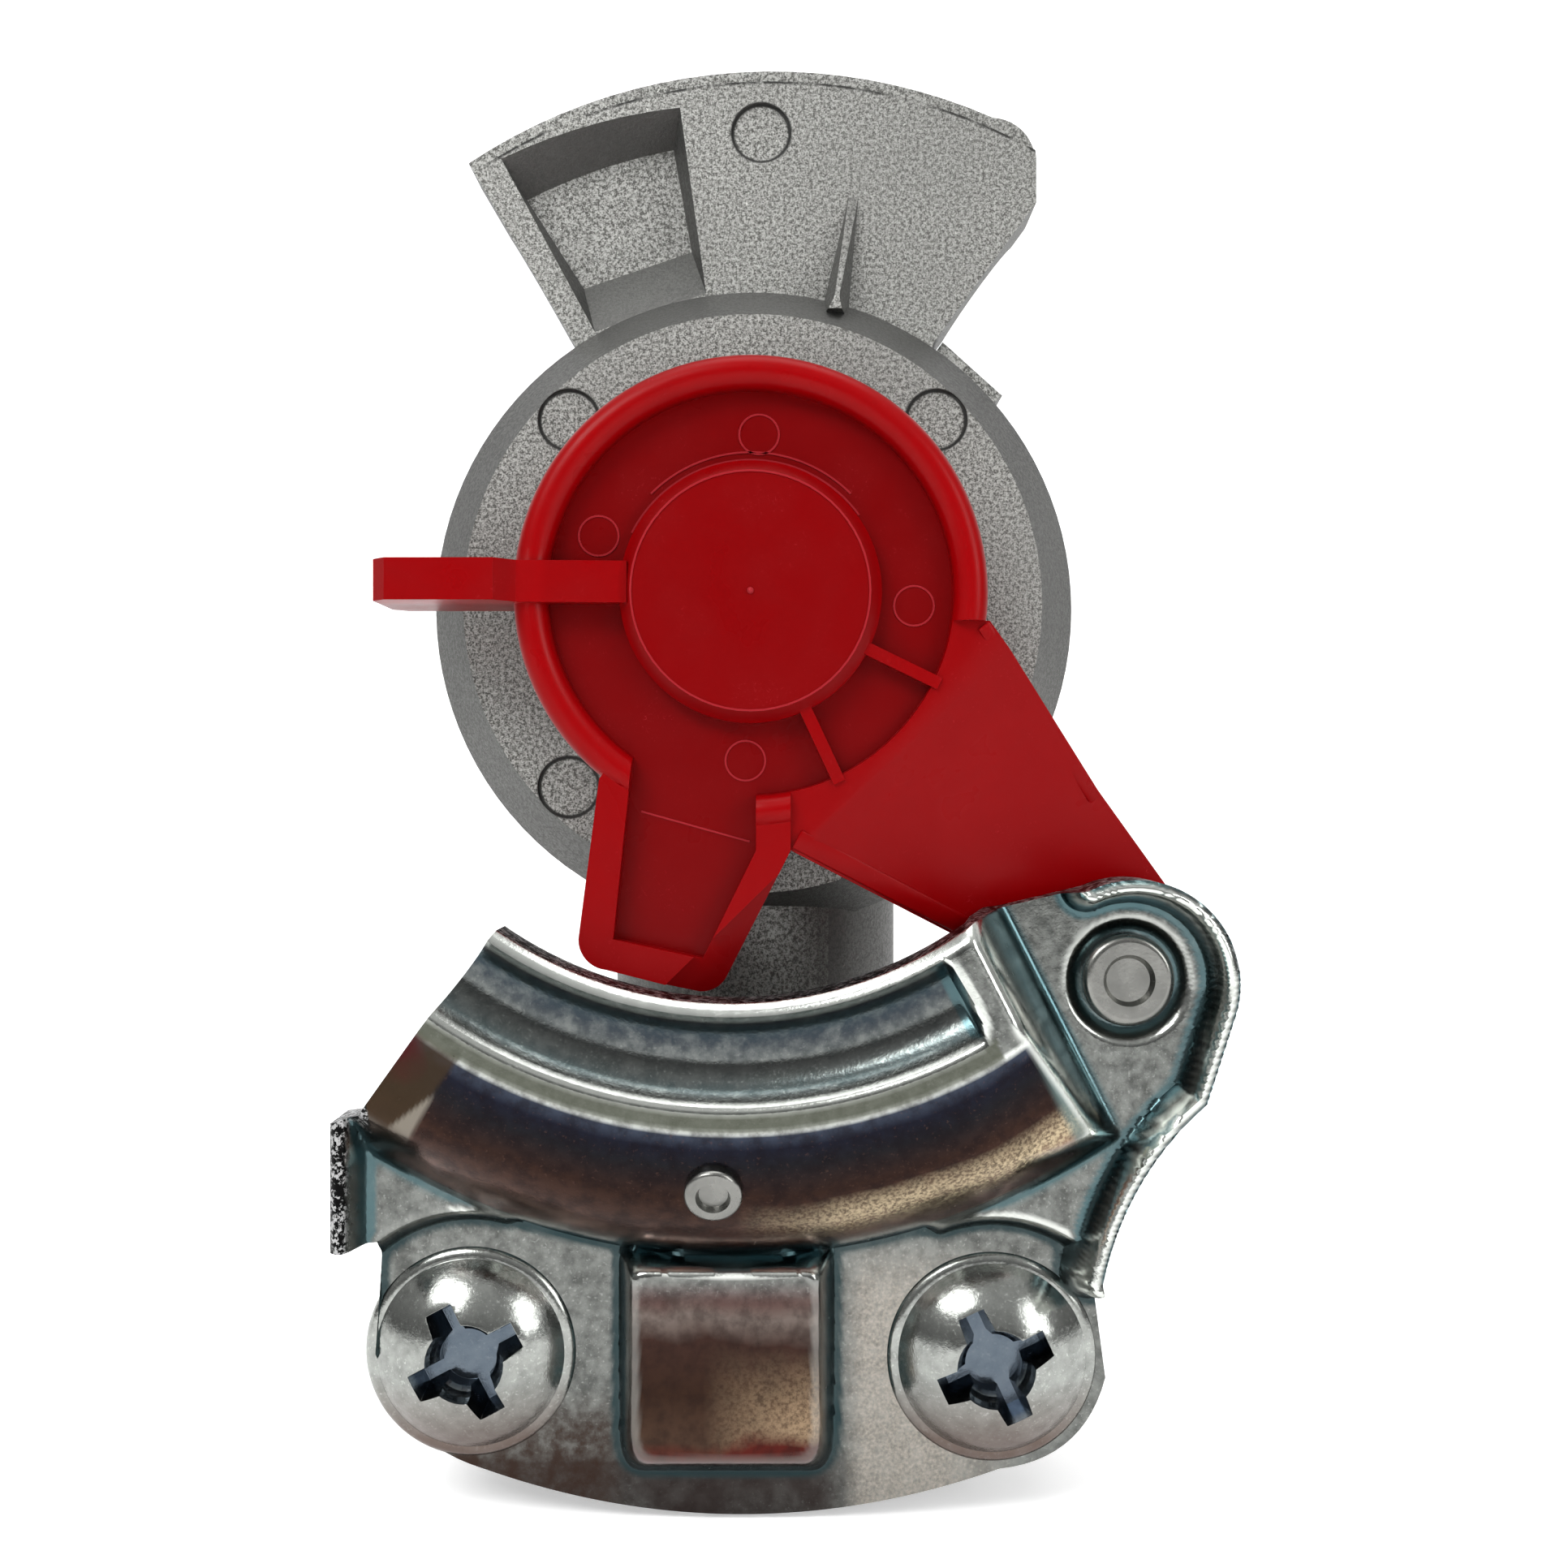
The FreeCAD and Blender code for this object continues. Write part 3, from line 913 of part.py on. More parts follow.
def plate_outline():
    """Edge of the whole plate as it is seen from the front."""
    def on_circle(side, rise, radius, angle):
        return FreeCAD.Vector(side + radius * math.cos(math.radians(angle)),
                              rise + radius * math.sin(math.radians(angle)), 0)

    channel = (size["channel_side"], size["channel_rise"], size["lip_radius"])
    mouth = on_circle(*channel, size["mouth_angle"])
    lowest = on_circle(*channel, 270)
    close = on_circle(*channel, size["close_angle"])
    ear = (size["pivot_side"], -size["pivot_drop"], size["ear_radius"])
    ear_start = on_circle(*ear, size["ear_start_angle"])
    ear_middle = on_circle(*ear, (size["ear_start_angle"] + size["ear_end_angle"]) / 2)
    ear_end = on_circle(*ear, size["ear_end_angle"])
    flank = FreeCAD.Vector(size["flank_side"], -size["flank_drop"], 0)
    throat = FreeCAD.Vector(size["throat_side"], -size["throat_drop"], 0)
    right = FreeCAD.Vector(size["right_edge"], -size["right_edge_drop"], 0)
    right_foot = FreeCAD.Vector(size["right_foot"], -size["foot_drop"], 0)
    bottom = FreeCAD.Vector((size["right_foot"] - size["left_foot"]) / 2, -size["bottom_drop"], 0)
    left_foot = FreeCAD.Vector(-size["left_foot"], -size["foot_drop"], 0)
    left = FreeCAD.Vector(-size["left_edge"], -size["left_screw_drop"], 0)
    notch = FreeCAD.Vector(-size["notch_side"], -size["tab_bottom_drop"], 0)
    tab_bottom = FreeCAD.Vector(-size["tab_edge"], -size["tab_bottom_drop"], 0)
    tab_top = FreeCAD.Vector(-size["tab_edge"], -size["tab_top_drop"], 0)
    shoulder = FreeCAD.Vector(-size["shoulder_side"], -size["shoulder_drop"], 0)
    edges = [
        Part.Arc(mouth, lowest, close),
        Part.LineSegment(close, ear_start),
        Part.Arc(ear_start, ear_middle, ear_end),
        Part.LineSegment(ear_end, flank),
        Part.Arc(flank, bowed(flank, throat, size["waist_bow"]), throat),
        Part.LineSegment(throat, right),
        Part.Arc(right, bowed(right, right_foot, -size["corner_bow"]), right_foot),
        Part.Arc(right_foot, bottom, left_foot),
        Part.Arc(left_foot, bowed(left_foot, left, -size["corner_bow"]), left),
        Part.LineSegment(left, notch),
        Part.LineSegment(notch, tab_bottom),
        Part.LineSegment(tab_bottom, tab_top),
        Part.LineSegment(tab_top, shoulder),
        Part.LineSegment(shoulder, mouth),
    ]
    return Part.Face(Part.Wire([edge.toShape() for edge in edges]))


def channel_ridge(wall, floor):
    """Ridge that the other head's fan runs under, as its outer skin or as the space a wall inside it."""
    lip = size["lip_radius"] - 3 * wall
    crest = size["crest_level"] - wall
    fall = size["crest_level"] - size["sheet_thickness"] - wall
    edge = size["crest_radius"]
    base = size["sheet_thickness"]
    arc = Part.Arc(FreeCAD.Vector(edge + fall, 0, base),
                   FreeCAD.Vector(edge + fall * math.sqrt(0.5), 0, base + fall * math.sqrt(0.5)),
                   FreeCAD.Vector(edge, 0, crest))
    corners = [(edge, crest), (lip, crest), (lip, floor), (edge + fall, floor), (edge + fall, base)]
    lines = Part.makePolygon([FreeCAD.Vector(radius, 0, level) for radius, level in corners])
    return spin(Part.Face(Part.Wire([arc.toShape()] + lines.Edges)))


def behind_wall(back, low, high):
    """Space on the channel's side of its sloping end wall, set back by a distance."""
    slope = size["wall_run"] / (size["crest_level"] - size["panel_level"])
    far = -3 * size["lip_radius"]
    edge = size["wall_reach"] - back
    section = [(far, low), (edge + (size["crest_level"] - low) * slope, low),
               (edge + (size["crest_level"] - high) * slope, high), (far, high)]
    return upright_prism(section, math.radians(size["wall_angle"]), 3 * size["lip_radius"])


def trough(wall):
    """Round trough along the ridge, or its underside."""
    radius = size["trough_round"] + wall
    level = size["crest_level"] - size["trough_depth"] + size["trough_round"]
    centre = FreeCAD.Vector(size["trough_radius"], 0, level)
    circle = Part.makeCircle(radius, centre, FreeCAD.Vector(0, 1, 0))
    ring = spin(Part.Face(Part.Wire(circle)))
    return ring.common(behind_wall(size["strip_width"] - wall, 0, 2 * size["crest_level"]))


def over_facet(name, wall):
    """Space over one of the flat facets pressed into the ridge's ends, set back by the sheet's wall."""
    lean_across = size[f"{name}_lean_across"]
    lean_along = size[f"{name}_lean_along"]
    steepness = math.sqrt(1 + lean_across ** 2 + lean_along ** 2)
    low = size["crest_level"] - size[f"{name}_drop"] - wall * steepness
    reach = size["plate_reach"]
    corners = []
    for across, along in ((-reach, -reach), (reach, -reach), (reach, reach), (-reach, reach)):
        corners.append(FreeCAD.Vector(size[f"{name}_side"] + across, along - size[f"{name}_down"],
                                      low + lean_across * across + lean_along * along))
    face = Part.Face(Part.makePolygon(corners + corners[:1]))
    return face.extrude(FreeCAD.Vector(0, 0, 4 * size["crest_level"]))


def rounded_box(wall):
    """Embossed box between the screws, or the space under it."""
    run = size["box_side_run"]
    level = size["box_level"] - wall
    foot_level = size["sheet_thickness"] - size["skin_foot"] * wall
    corner = size["box_inner_corner"] if wall else size["box_corner"]
    far = -size["step_drop"] + size["box_foot_run"]
    wires = []
    for share, height in ((0, foot_level), (1, level)):
        left = -size["box_left"] + run * share + wall
        right = size["box_right"] - run * share - wall
        low = -size["box_foot_drop"] + size["box_foot_run"] * share + wall
        wires.append(rounded_wire(left, right, low, far, corner, height))
    return Part.makeLoft(wires, True, True)


def rounded_wire(left, right, low, high, radius, level):
    """Rectangle with its two lower corners rounded."""
    skew = radius * (1 - math.sqrt(0.5))

    def spot(across, along):
        return FreeCAD.Vector(across, along, level)

    return Part.Wire([
        Part.LineSegment(spot(left, high), spot(left, low + radius)).toShape(),
        Part.Arc(spot(left, low + radius), spot(left + skew, low + skew), spot(left + radius, low)).toShape(),
        Part.LineSegment(spot(left + radius, low), spot(right - radius, low)).toShape(),
        Part.Arc(spot(right - radius, low), spot(right - skew, low + skew),
                 spot(right, low + radius)).toShape(),
        Part.LineSegment(spot(right, low + radius), spot(right, high)).toShape(),
        Part.LineSegment(spot(right, high), spot(left, high)).toShape(),
    ])


def make_plate():
    """Pressed sheet: channel, ear, tab, step to the screw seats and embossed box."""
    thickness = size["sheet_thickness"]
    high = 2 * size["crest_level"]
    wide = 2 * size["plate_reach"]
    outline = plate_outline()
    blank = outline.extrude(FreeCAD.Vector(0, 0, high))
    slope = size["step_run"] / (size["panel_level"] - thickness)
    foot = -size["step_drop"]
    lifts = []
    for wall in (0, thickness):
        level = size["panel_level"] - wall
        low = thickness - size["skin_foot"] * wall
        shift = size["step_skin"] * wall
        section = [(foot + shift, low), (foot + shift + (level - low) * slope, level), (0, level), (0, low)]
        lifts.append(upright_prism(section, math.pi / 2, wide))
    ridges = []
    for wall, floor in ((0, 0), (thickness, -1)):
        ridge = channel_ridge(wall, floor).common(behind_wall(wall, floor, high))
        ridges.append(ridge.cut([trough(wall), over_facet("mouth", wall), over_facet("end", wall)]))
    slab = outline.extrude(FreeCAD.Vector(0, 0, thickness))
    solid = slab.fuse([lifts[0], ridges[0], rounded_box(0)]).common(blank)
    solid = solid.cut([lifts[1], ridges[1], rounded_box(thickness)])
    solid = solid.fuse(upstanding_edges(outline))

    pivot = FreeCAD.Vector(size["pivot_side"], -size["pivot_drop"], 0)
    up = FreeCAD.Vector(0, 0, 1)
    under = size["panel_level"] - thickness - size["dimple_depth"]
    bulge = Part.makeCylinder(size["dimple_radius"] + thickness / 2, size["dimple_depth"] + thickness / 2,
                              pivot + up * under)
    dimple = Part.makeCylinder(size["dimple_radius"], high, pivot + up * (under + thickness))
    rivet_hole = Part.makeCylinder(size["pivot_radius"] + size["running_fit"], high, pivot)
    screw_radius = size["screw_radius"] + size["seat_gap"]
    left = FreeCAD.Vector(-size["left_screw_side"], -size["left_screw_drop"], 0)
    right = FreeCAD.Vector(size["right_screw_side"], -size["right_screw_drop"], 0)
    screw_holes = [Part.makeCylinder(screw_radius, thickness, place) for place in (left, right)]
    place, way = detent_frame()
    flat_place = FreeCAD.Vector(place.x, place.z, -place.y)
    flat_way = FreeCAD.Vector(way.x, way.z, -way.y)
    seat = size["detent_seat"]
    seat_radius = size["detent_head_radius"] + size["running_fit"]
    inner_place = flat_place - flat_way * (thickness - seat / 2)
    detent_holes = [
        Part.makeCylinder(size["detent_radius"] + size["running_fit"], 3 * thickness,
                          flat_place - flat_way * 2 * thickness, flat_way),
        Part.makeCylinder(seat_radius, thickness, flat_place - flat_way * seat, flat_way),
        Part.makeCylinder(seat_radius, thickness, inner_place, flat_way * -1),
    ]
    return solid.fuse(bulge).cut([dimple, rivet_hole] + detent_holes + screw_holes)


def upstanding_edges(outline):
    """Edges turned up towards the viewer: round the ear and along the left tab."""
    thickness = size["sheet_thickness"]
    low = size["panel_level"] - thickness
    up = FreeCAD.Vector(0, 0, size["rim_level"] - low)
    inner = Part.Face(outline.OuterWire.makeOffset2D(-thickness))
    band = outline.extrude(up).cut(inner.extrude(up))
    band.translate(FreeCAD.Vector(0, 0, low))
    wide = size["plate_reach"]
    ear = Part.makeBox(wide, size["throat_drop"], size["rim_level"],
                       FreeCAD.Vector(0, -size["throat_drop"], 0))
    ear = ear.cut(behind_wall(-thickness / 2, 0, size["rim_level"]))
    tab = Part.makeBox(2 * thickness, size["tab_bottom_drop"] - size["tab_top_drop"], size["rim_level"],
                       FreeCAD.Vector(-size["tab_edge"], -size["tab_bottom_drop"], 0))
    return band.common(ear.fuse(tab))


def export():
    """Check every object and write each piece to its own file."""
    doc.recompute()
    for item in doc.Objects:
        if "Invalid" in item.State or "Error" in item.State:
            raise RuntimeError(f"{item.Name} failed: {item.State}")
    os.makedirs("parts", exist_ok=True)
    for item in doc.Objects:
        if item.Label == item.Label.lower() and hasattr(item, "Shape"):
            if item.Shape.isNull() or not item.Shape.isValid():
                raise RuntimeError(f"{item.Label} has no valid shape")
            item.Shape.exportStep(f"parts/{item.Label}.step")
            print(item.Label, round(item.Shape.Volume, 1), len(item.Shape.Solids))


make_casting()
plate = doc.addObject("Part::Feature", "guide_plate")
plate.Label = "guide_plate"
plate.Shape = make_plate()
plate.Placement = FreeCAD.Placement(FreeCAD.Vector(), FreeCAD.Rotation(FreeCAD.Vector(1, 0, 0), 90))
make_screws()
make_seal_and_valve()
make_pivot()
make_detent()
make_cap()
export()
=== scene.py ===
"""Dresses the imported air-line coupling head: plate, casting, dust cap, screws, finishes and studio."""

import math

import bmesh
import bpy
import numpy as np
from mathutils import Matrix, Vector


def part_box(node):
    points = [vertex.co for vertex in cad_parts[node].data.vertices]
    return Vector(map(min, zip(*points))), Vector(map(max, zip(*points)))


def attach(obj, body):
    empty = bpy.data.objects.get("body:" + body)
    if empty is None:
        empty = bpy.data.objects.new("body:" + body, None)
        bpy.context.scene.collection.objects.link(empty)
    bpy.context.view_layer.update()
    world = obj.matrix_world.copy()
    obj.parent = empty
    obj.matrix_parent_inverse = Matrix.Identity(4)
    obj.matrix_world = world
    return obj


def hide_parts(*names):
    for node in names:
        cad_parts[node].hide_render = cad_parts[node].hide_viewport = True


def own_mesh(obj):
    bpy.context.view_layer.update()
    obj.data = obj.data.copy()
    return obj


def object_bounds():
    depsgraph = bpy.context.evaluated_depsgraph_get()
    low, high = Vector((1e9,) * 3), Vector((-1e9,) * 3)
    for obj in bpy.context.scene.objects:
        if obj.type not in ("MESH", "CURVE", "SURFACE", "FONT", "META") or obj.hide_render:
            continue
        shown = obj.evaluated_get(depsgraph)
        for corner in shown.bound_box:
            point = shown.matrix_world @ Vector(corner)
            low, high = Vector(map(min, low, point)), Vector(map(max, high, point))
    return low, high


bl_info = {
    "name": "Coupling Head Dresser",
    "version": (1, 0, 0),
    "blender": (4, 5, 0),
    "location": "View3D > Sidebar > Coupling",
    "description": "Builds the visible skin of an air-line coupling head over its packed frame",
    "category": "Object",
}

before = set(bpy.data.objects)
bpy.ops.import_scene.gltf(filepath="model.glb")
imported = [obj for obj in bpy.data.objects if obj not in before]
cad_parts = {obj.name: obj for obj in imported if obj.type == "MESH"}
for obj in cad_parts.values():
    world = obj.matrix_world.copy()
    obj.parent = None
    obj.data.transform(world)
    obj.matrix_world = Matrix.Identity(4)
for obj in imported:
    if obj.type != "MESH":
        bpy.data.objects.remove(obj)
CAD_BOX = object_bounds()
MM = 0.001
UPRIGHT = Matrix.Rotation(math.pi / 2, 3, "X")


def centre(node):
    """Give the middle of a CAD node's box at rest."""
    low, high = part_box(node)
    return (Vector(low) + Vector(high)) / 2


PIVOT = centre("pivot_rivet")
LEFT_SCREW = centre("screw_left")
RIGHT_SCREW = centre("screw_right")


def length(label, text, value):
    """Make a length property, given in millimetres."""
    return bpy.props.FloatProperty(
        name=label, description=text, default=value * MM, min=0, unit="LENGTH", subtype="DISTANCE",
        precision=5)


def colour(label, text, value):
    """Make a colour property."""
    return bpy.props.FloatVectorProperty(
        name=label, description=text, default=value, size=3, min=0, max=1, subtype="COLOR")


def factor(label, text, value):
    """Make a property for a strength."""
    return bpy.props.FloatProperty(name=label, description=text, default=value, min=0)


class CouplingPlateSizes(bpy.types.PropertyGroup):
    """Levels and lines of the pressed plate, levels counted from its rear face towards the viewer."""

    sheet: length("Sheet", "Thickness of the pressed sheet", 2.0)
    seat_level: length("Seat level", "Level of the sheet round the screws", 2.0)
    panel_level: length("Panel level", "Level of the ear and the tab's panel", 6.0)
    crest_level: length("Crest level", "Level of the channel's crest", 13.0)
    rim_level: length("Rim level", "Level of the edges turned up towards the viewer", 9.2)
    lip_radius: length("Lip radius", "Radius of the channel's inner edge", 28.7)
    trough_radius: length("Trough radius", "Radius of the trough's middle", 32.8)
    trough_depth: length("Trough depth", "Depth of the trough along the crest", 2.0)
    crest_radius: length("Crest radius", "Radius at which the crest starts to roll off", 37.6)
    roll_radius: length("Roll radius", "Radius of the roll-off", 11.0)
    step_drop: length("Step drop", "Drop of the step's foot below the seal", 47.8)
    box_level: length("Box level", "Level of the embossed box", 7.5)


class CouplingFinishes(bpy.types.PropertyGroup):
    """Colours of the materials."""

    cap_red: colour("Cap red", "Colour of the moulded dust cap", (0.235, 0.0, 0.001))
    zinc: colour("Zinc", "Colour of the plated sheet", (0.135, 0.14, 0.132))
    zinc_tint: colour("Zinc tint", "Colour of the thicker passivation in the hollows", (0.06, 0.11, 0.12))
    # The straw colour is painted reflection, laid on the ridge's roll and on the lower halves of the screw
    # heads
    zinc_straw_reflection: colour("Zinc straw", "Colour of the thinner passivation on the rolls",
                       (0.031, 0.0165, 0.0125))
    cast: colour("Cast", "Colour of the sand-textured casting", (0.30, 0.30, 0.285))
    cast_pit: colour("Cast pits", "Colour of the casting's dark grains", (0.075, 0.075, 0.068))
    rubber: colour("Rubber", "Colour of the seals", (0.012, 0.012, 0.013))
    brass: colour("Brass", "Colour of the valve poppet", (0.62, 0.44, 0.17))
    backdrop: colour("Backdrop", "Colour of the floor and the wall", (0.93, 0.93, 0.93))


class CouplingStage(bpy.types.PropertyGroup):
    """Camera and light."""

    camera_side: length("Camera side", "Place of the camera right of the seal", 2.42)
    camera_drop: length("Camera drop", "Place of the camera below the seal", 13.9)
    camera_distance: length("Camera distance", "Distance of the camera from the coupling face", 130.0)
    lens: bpy.props.FloatProperty(
        name="Lens", description="Focal length in millimetres", default=38.76, min=1)
    room: factor("Room", "Strength of the light from overhead", 0.75)
    room_low: factor("Low room", "Strength of the light from level with the object", 0.05)
    paper_glow: factor("Paper glow", "Strength that whitens the backdrop for the camera and for reflections",
                       0.4)
    lamps: factor("Lamps", "Factor on the power of every lamp", 1.0)


# Shapes shared by every piece

def mesh_object(name, shape):
    """Turn a finished bmesh into an object."""
    mesh = bpy.data.meshes.new(name)
    shape.to_mesh(mesh)
    shape.free()
    piece = bpy.data.objects.new(name, mesh)
    bpy.context.scene.collection.objects.link(piece)
    return piece


def shade_smoothly(mesh):
    """Shade every face of a mesh smoothly."""
    mesh.polygons.foreach_set("use_smooth", np.ones(len(mesh.polygons), dtype=bool))


def evaluated(piece):
    """Give a piece's mesh with its modifiers applied."""
    return bpy.data.meshes.new_from_object(piece.evaluated_get(bpy.context.evaluated_depsgraph_get()))


def drawn_out(shape, swept, way):
    """Move the corners that an extrusion has added."""
    moved = [item for item in swept["geom"] if isinstance(item, bmesh.types.BMVert)]
    bmesh.ops.translate(shape, verts=moved, vec=way)


def coordinates(mesh):
    """Give the places of a mesh's corners, one row for each."""
    spots = np.empty(len(mesh.vertices) * 3)
    mesh.vertices.foreach_get("co", spots)
    return spots.reshape(-1, 3)


def arc(middle, radius, start, finish, steps):
    """Give points along an arc."""
    return [(middle[0] + radius * math.cos(angle), middle[1] + radius * math.sin(angle))
            for angle in np.linspace(start, finish, steps)]


# Pressed plate

CHANNEL = (-1.3 * MM, -0.5 * MM)
CHANNEL_SPAN = (math.radians(235.3), math.radians(306.4))
LIP_ROUND = 1.1 * MM
LIP_FALL = 1.6 * MM
CREST_FILLET = 2.6 * MM
FACET_EDGE = 0.35 * MM
MOUTH_LEVEL = 12.9 * MM
MOUTH_POINT = (-20.1 * MM, -34.9 * MM)
MOUTH_SLOPE = (0.314, 0.2415)
MOUTH_CREASE = ((-21.7 * MM, -35.3 * MM), (-24.7 * MM, -39.2 * MM))
END_POINT = (16.4 * MM, -34.8 * MM)
END_SLOPE = (-0.433, 0.273)
TROUGH_ROUND = 3.4 * MM
TROUGH_END = 0.9 * MM
TROUGH_FADE = 1.4 * MM
TROUGH_LIP = 0.7 * MM
WALL_ANGLE = math.radians(27)
WALL_FOOT = 5.5 * MM
WALL_RUN = 2.4 * MM
WALL_ROUND = 2.2 * MM

STEP_SIDES = (-17.0 * MM, 12.5 * MM)
STEP_SIDE_RUN = 3 * MM
STEP_DIP = 4.2 * MM
STEP_RUN = 2.2 * MM
HEAD_RADIUS = 8.0 * MM
HEAD_ROOM = 0.9 * MM
HEAD_BLEND = 2.0 * MM
BOX_SIDES = (-10.7 * MM, 7.0 * MM)
BOX_FOOT = -66.6 * MM
BOX_TOP = -48.3 * MM
BOX_SIDE_RUN = 2.3 * MM
BOX_FOOT_RUN = 3.9 * MM
BOX_TOP_RUN = 2.0 * MM
BOX_FILLET = 1.0 * MM
DISH_DEPTH = 0.8 * MM
DISH_RADIUS = 3.7 * MM
DISH_RUN = 1.1 * MM

EAR_RADIUS = 7.5 * MM
EAR_SPAN = (math.radians(115), math.radians(-20))
EAR_FLANK = (32.8 * MM, -36.9 * MM)
EAR_THROAT = (25.3 * MM, -49.9 * MM)
FLANK_BOW = 1.25 * MM
PLATE_RIGHT = (26.4 * MM, -58.2 * MM)
PLATE_LEFT = (-27.9 * MM, LEFT_SCREW.z)
RIGHT_FOOT = (18.5 * MM, -65.0 * MM)
LEFT_FOOT = (-20.0 * MM, -65.0 * MM)
FOOT_BOW = 3.4 * MM
CORNER_BOW = 1.8 * MM
TAB_EDGE = -30.2 * MM
TAB_TOP = -38.3 * MM
TAB_BOTTOM = -47.6 * MM
TAB_ROOT = -27.5 * MM
TAB_SHOULDER = (-28.0 * MM, -37.6 * MM)
TAB_LIP = 0.25 * MM
RIM_TOP = 0.6 * MM
RIM_RUN = 1.9 * MM
RIM_FOOT = 2 * MM
RIM_ROUND = 0.7 * MM
RIM_FILLET = 0.8 * MM

SCREW_HOLE = 4.2 * MM
PIVOT_HOLE = 2.58 * MM
BLANK_SPAN = (1 * MM, 18 * MM)
# The fine grid: its cells, then its start and extent in degrees round the channel and in mm from its axis
GRID_CELLS = (340, 150)
GRID_TURN = (229, 101)
GRID_BAND = (27.6, 42.6)
STEEPEST = 2.4


def ease(amount):
    """Rise smoothly from 0 to 1 while amount does."""
    share = np.clip(amount, 0, 1)
    return share * share * (3 - 2 * share)


def over(first, second, blend):
    """Join two levels by the higher one, with a fillet where they meet."""
    near = np.clip(blend - np.abs(first - second), 0, None) / blend
    return np.maximum(first, second) + near * near * blend / 4


def under(first, second, blend):
    """Join two levels by the lower one, with a rounded edge where they meet."""
    return -over(-first, -second, blend)


def tilted(across, along, level, through, slope):
    """Give the level of a plane that passes through a point."""
    return level + slope[0] * (across - through[0]) + slope[1] * (along - through[1])


def from_channel(across, along):
    """Give the distance from the channel's axis."""
    return np.hypot(across - CHANNEL[0], along - CHANNEL[1])


def along_wall(across, along):
    """Give how far a place lies towards the channel's end wall."""
    return across * math.cos(WALL_ANGLE) + along * math.sin(WALL_ANGLE)


def bowed(start, finish, bow, steps=14):
    """Give points from start to finish along a curve that bows out to the right of the way."""
    way = np.subtract(finish, start)
    out = np.array((way[1], -way[0])) / np.hypot(*way) * bow
    return [tuple(np.array(start) + way * share + out * 4 * share * (1 - share))
            for share in np.linspace(0, 1, steps)]


def ear_edge():
    """Give the ear's outer edge, from the end of the channel down to the right screw."""
    return arc((PIVOT.x, PIVOT.z), EAR_RADIUS, *EAR_SPAN, 40) + bowed(EAR_FLANK, EAR_THROAT, FLANK_BOW)


def plate_edge(sizes):
    """Give the plate's whole outline as seen from the front."""
    channel = arc(CHANNEL, sizes.lip_radius, *CHANNEL_SPAN, 90)
    right_corner = bowed(PLATE_RIGHT, RIGHT_FOOT, -CORNER_BOW)
    foot = bowed(RIGHT_FOOT, LEFT_FOOT, -FOOT_BOW, 40)
    left_corner = bowed(LEFT_FOOT, PLATE_LEFT, -CORNER_BOW)
    tab = [(TAB_ROOT, TAB_BOTTOM), (TAB_EDGE, TAB_BOTTOM), (TAB_EDGE, TAB_TOP), TAB_SHOULDER]
    return channel + ear_edge() + right_corner + foot[1:] + left_corner[1:] + tab


def nearest(across, along, line):
    """Give the distance from each place to a line of points."""
    best = np.full(across.shape, 1.0)
    for start, finish in zip(line[:-1], line[1:]):
        way = np.subtract(finish, start)
        share = ((across - start[0]) * way[0] + (along - start[1]) * way[1]) / max(way @ way, 1e-12)
        share = np.clip(share, 0, 1)
        off = np.hypot(across - start[0] - way[0] * share, along - start[1] - way[1] * share)
        best = np.minimum(best, off)
    return best


def ridge_level(across, along, sizes):
    """Give the level of the ridge over the channel, with its trough, flared mouth and sloping end wall."""
    radius = from_channel(across, along)
    crest = sizes.crest_level
    past = radius - sizes.crest_radius
    round_part = np.sqrt(np.clip(sizes.roll_radius ** 2 - np.clip(past, 0, None) ** 2, 0, None))
    roll = crest - sizes.roll_radius + round_part - 3 * np.clip(past - sizes.roll_radius, 0, None)
    lip = np.clip(sizes.lip_radius + LIP_ROUND - radius, 0, None)
    level = np.minimum(roll, crest) - lip * lip / LIP_FALL
    level = under(level, tilted(across, along, MOUTH_LEVEL, MOUTH_POINT, MOUTH_SLOPE), FACET_EDGE)
    level = under(level, tilted(across, along, crest, END_POINT, END_SLOPE), FACET_EDGE)

    reach = along_wall(across, along)
    trough_low = crest - sizes.trough_depth + TROUGH_ROUND
    off = np.clip(TROUGH_ROUND ** 2 - (radius - sizes.trough_radius) ** 2, 0, None)
    trough = np.where(off > 0, trough_low - np.sqrt(off), 2 * crest)
    trough = trough + 4 * ease((reach - TROUGH_END + 0.8 * MM) / TROUGH_FADE) * sizes.trough_depth
    level = under(level, trough, TROUGH_LIP)

    wall = sizes.panel_level + (WALL_FOOT - reach) * (crest - sizes.panel_level) / WALL_RUN
    return under(level, wall, WALL_ROUND)


def base_level(across, along, sizes):
    """Give the level of the flat parts, the embossed box and the pivot's seat."""
    outer = ease((across - STEP_SIDES[1]) / STEP_SIDE_RUN) + ease((STEP_SIDES[0] - across) / STEP_SIDE_RUN)
    step = along + sizes.step_drop + outer * STEP_DIP
    for screw in (LEFT_SCREW, RIGHT_SCREW):
        step = under(step, np.hypot(across - screw.x, along - screw.z) - HEAD_RADIUS - HEAD_ROOM, HEAD_BLEND)
    rise = sizes.panel_level - sizes.seat_level
    level = sizes.seat_level + rise * ease(step / STEP_RUN)

    left = (across - BOX_SIDES[0]) / BOX_SIDE_RUN
    right = (BOX_SIDES[1] - across) / BOX_SIDE_RUN
    foot = (along - BOX_FOOT) / BOX_FOOT_RUN
    top = (BOX_TOP - along) / BOX_TOP_RUN + 0.4
    share = under(under(under(left, right, 0.4), foot, 0.7), top, 0.5)
    box = sizes.seat_level + (sizes.box_level - sizes.seat_level) * ease(share)
    level = over(level, box, BOX_FILLET)

    dish = np.hypot(across - PIVOT.x, along - PIVOT.z)
    return level - DISH_DEPTH * (1 - ease((dish - DISH_RADIUS) / DISH_RUN))


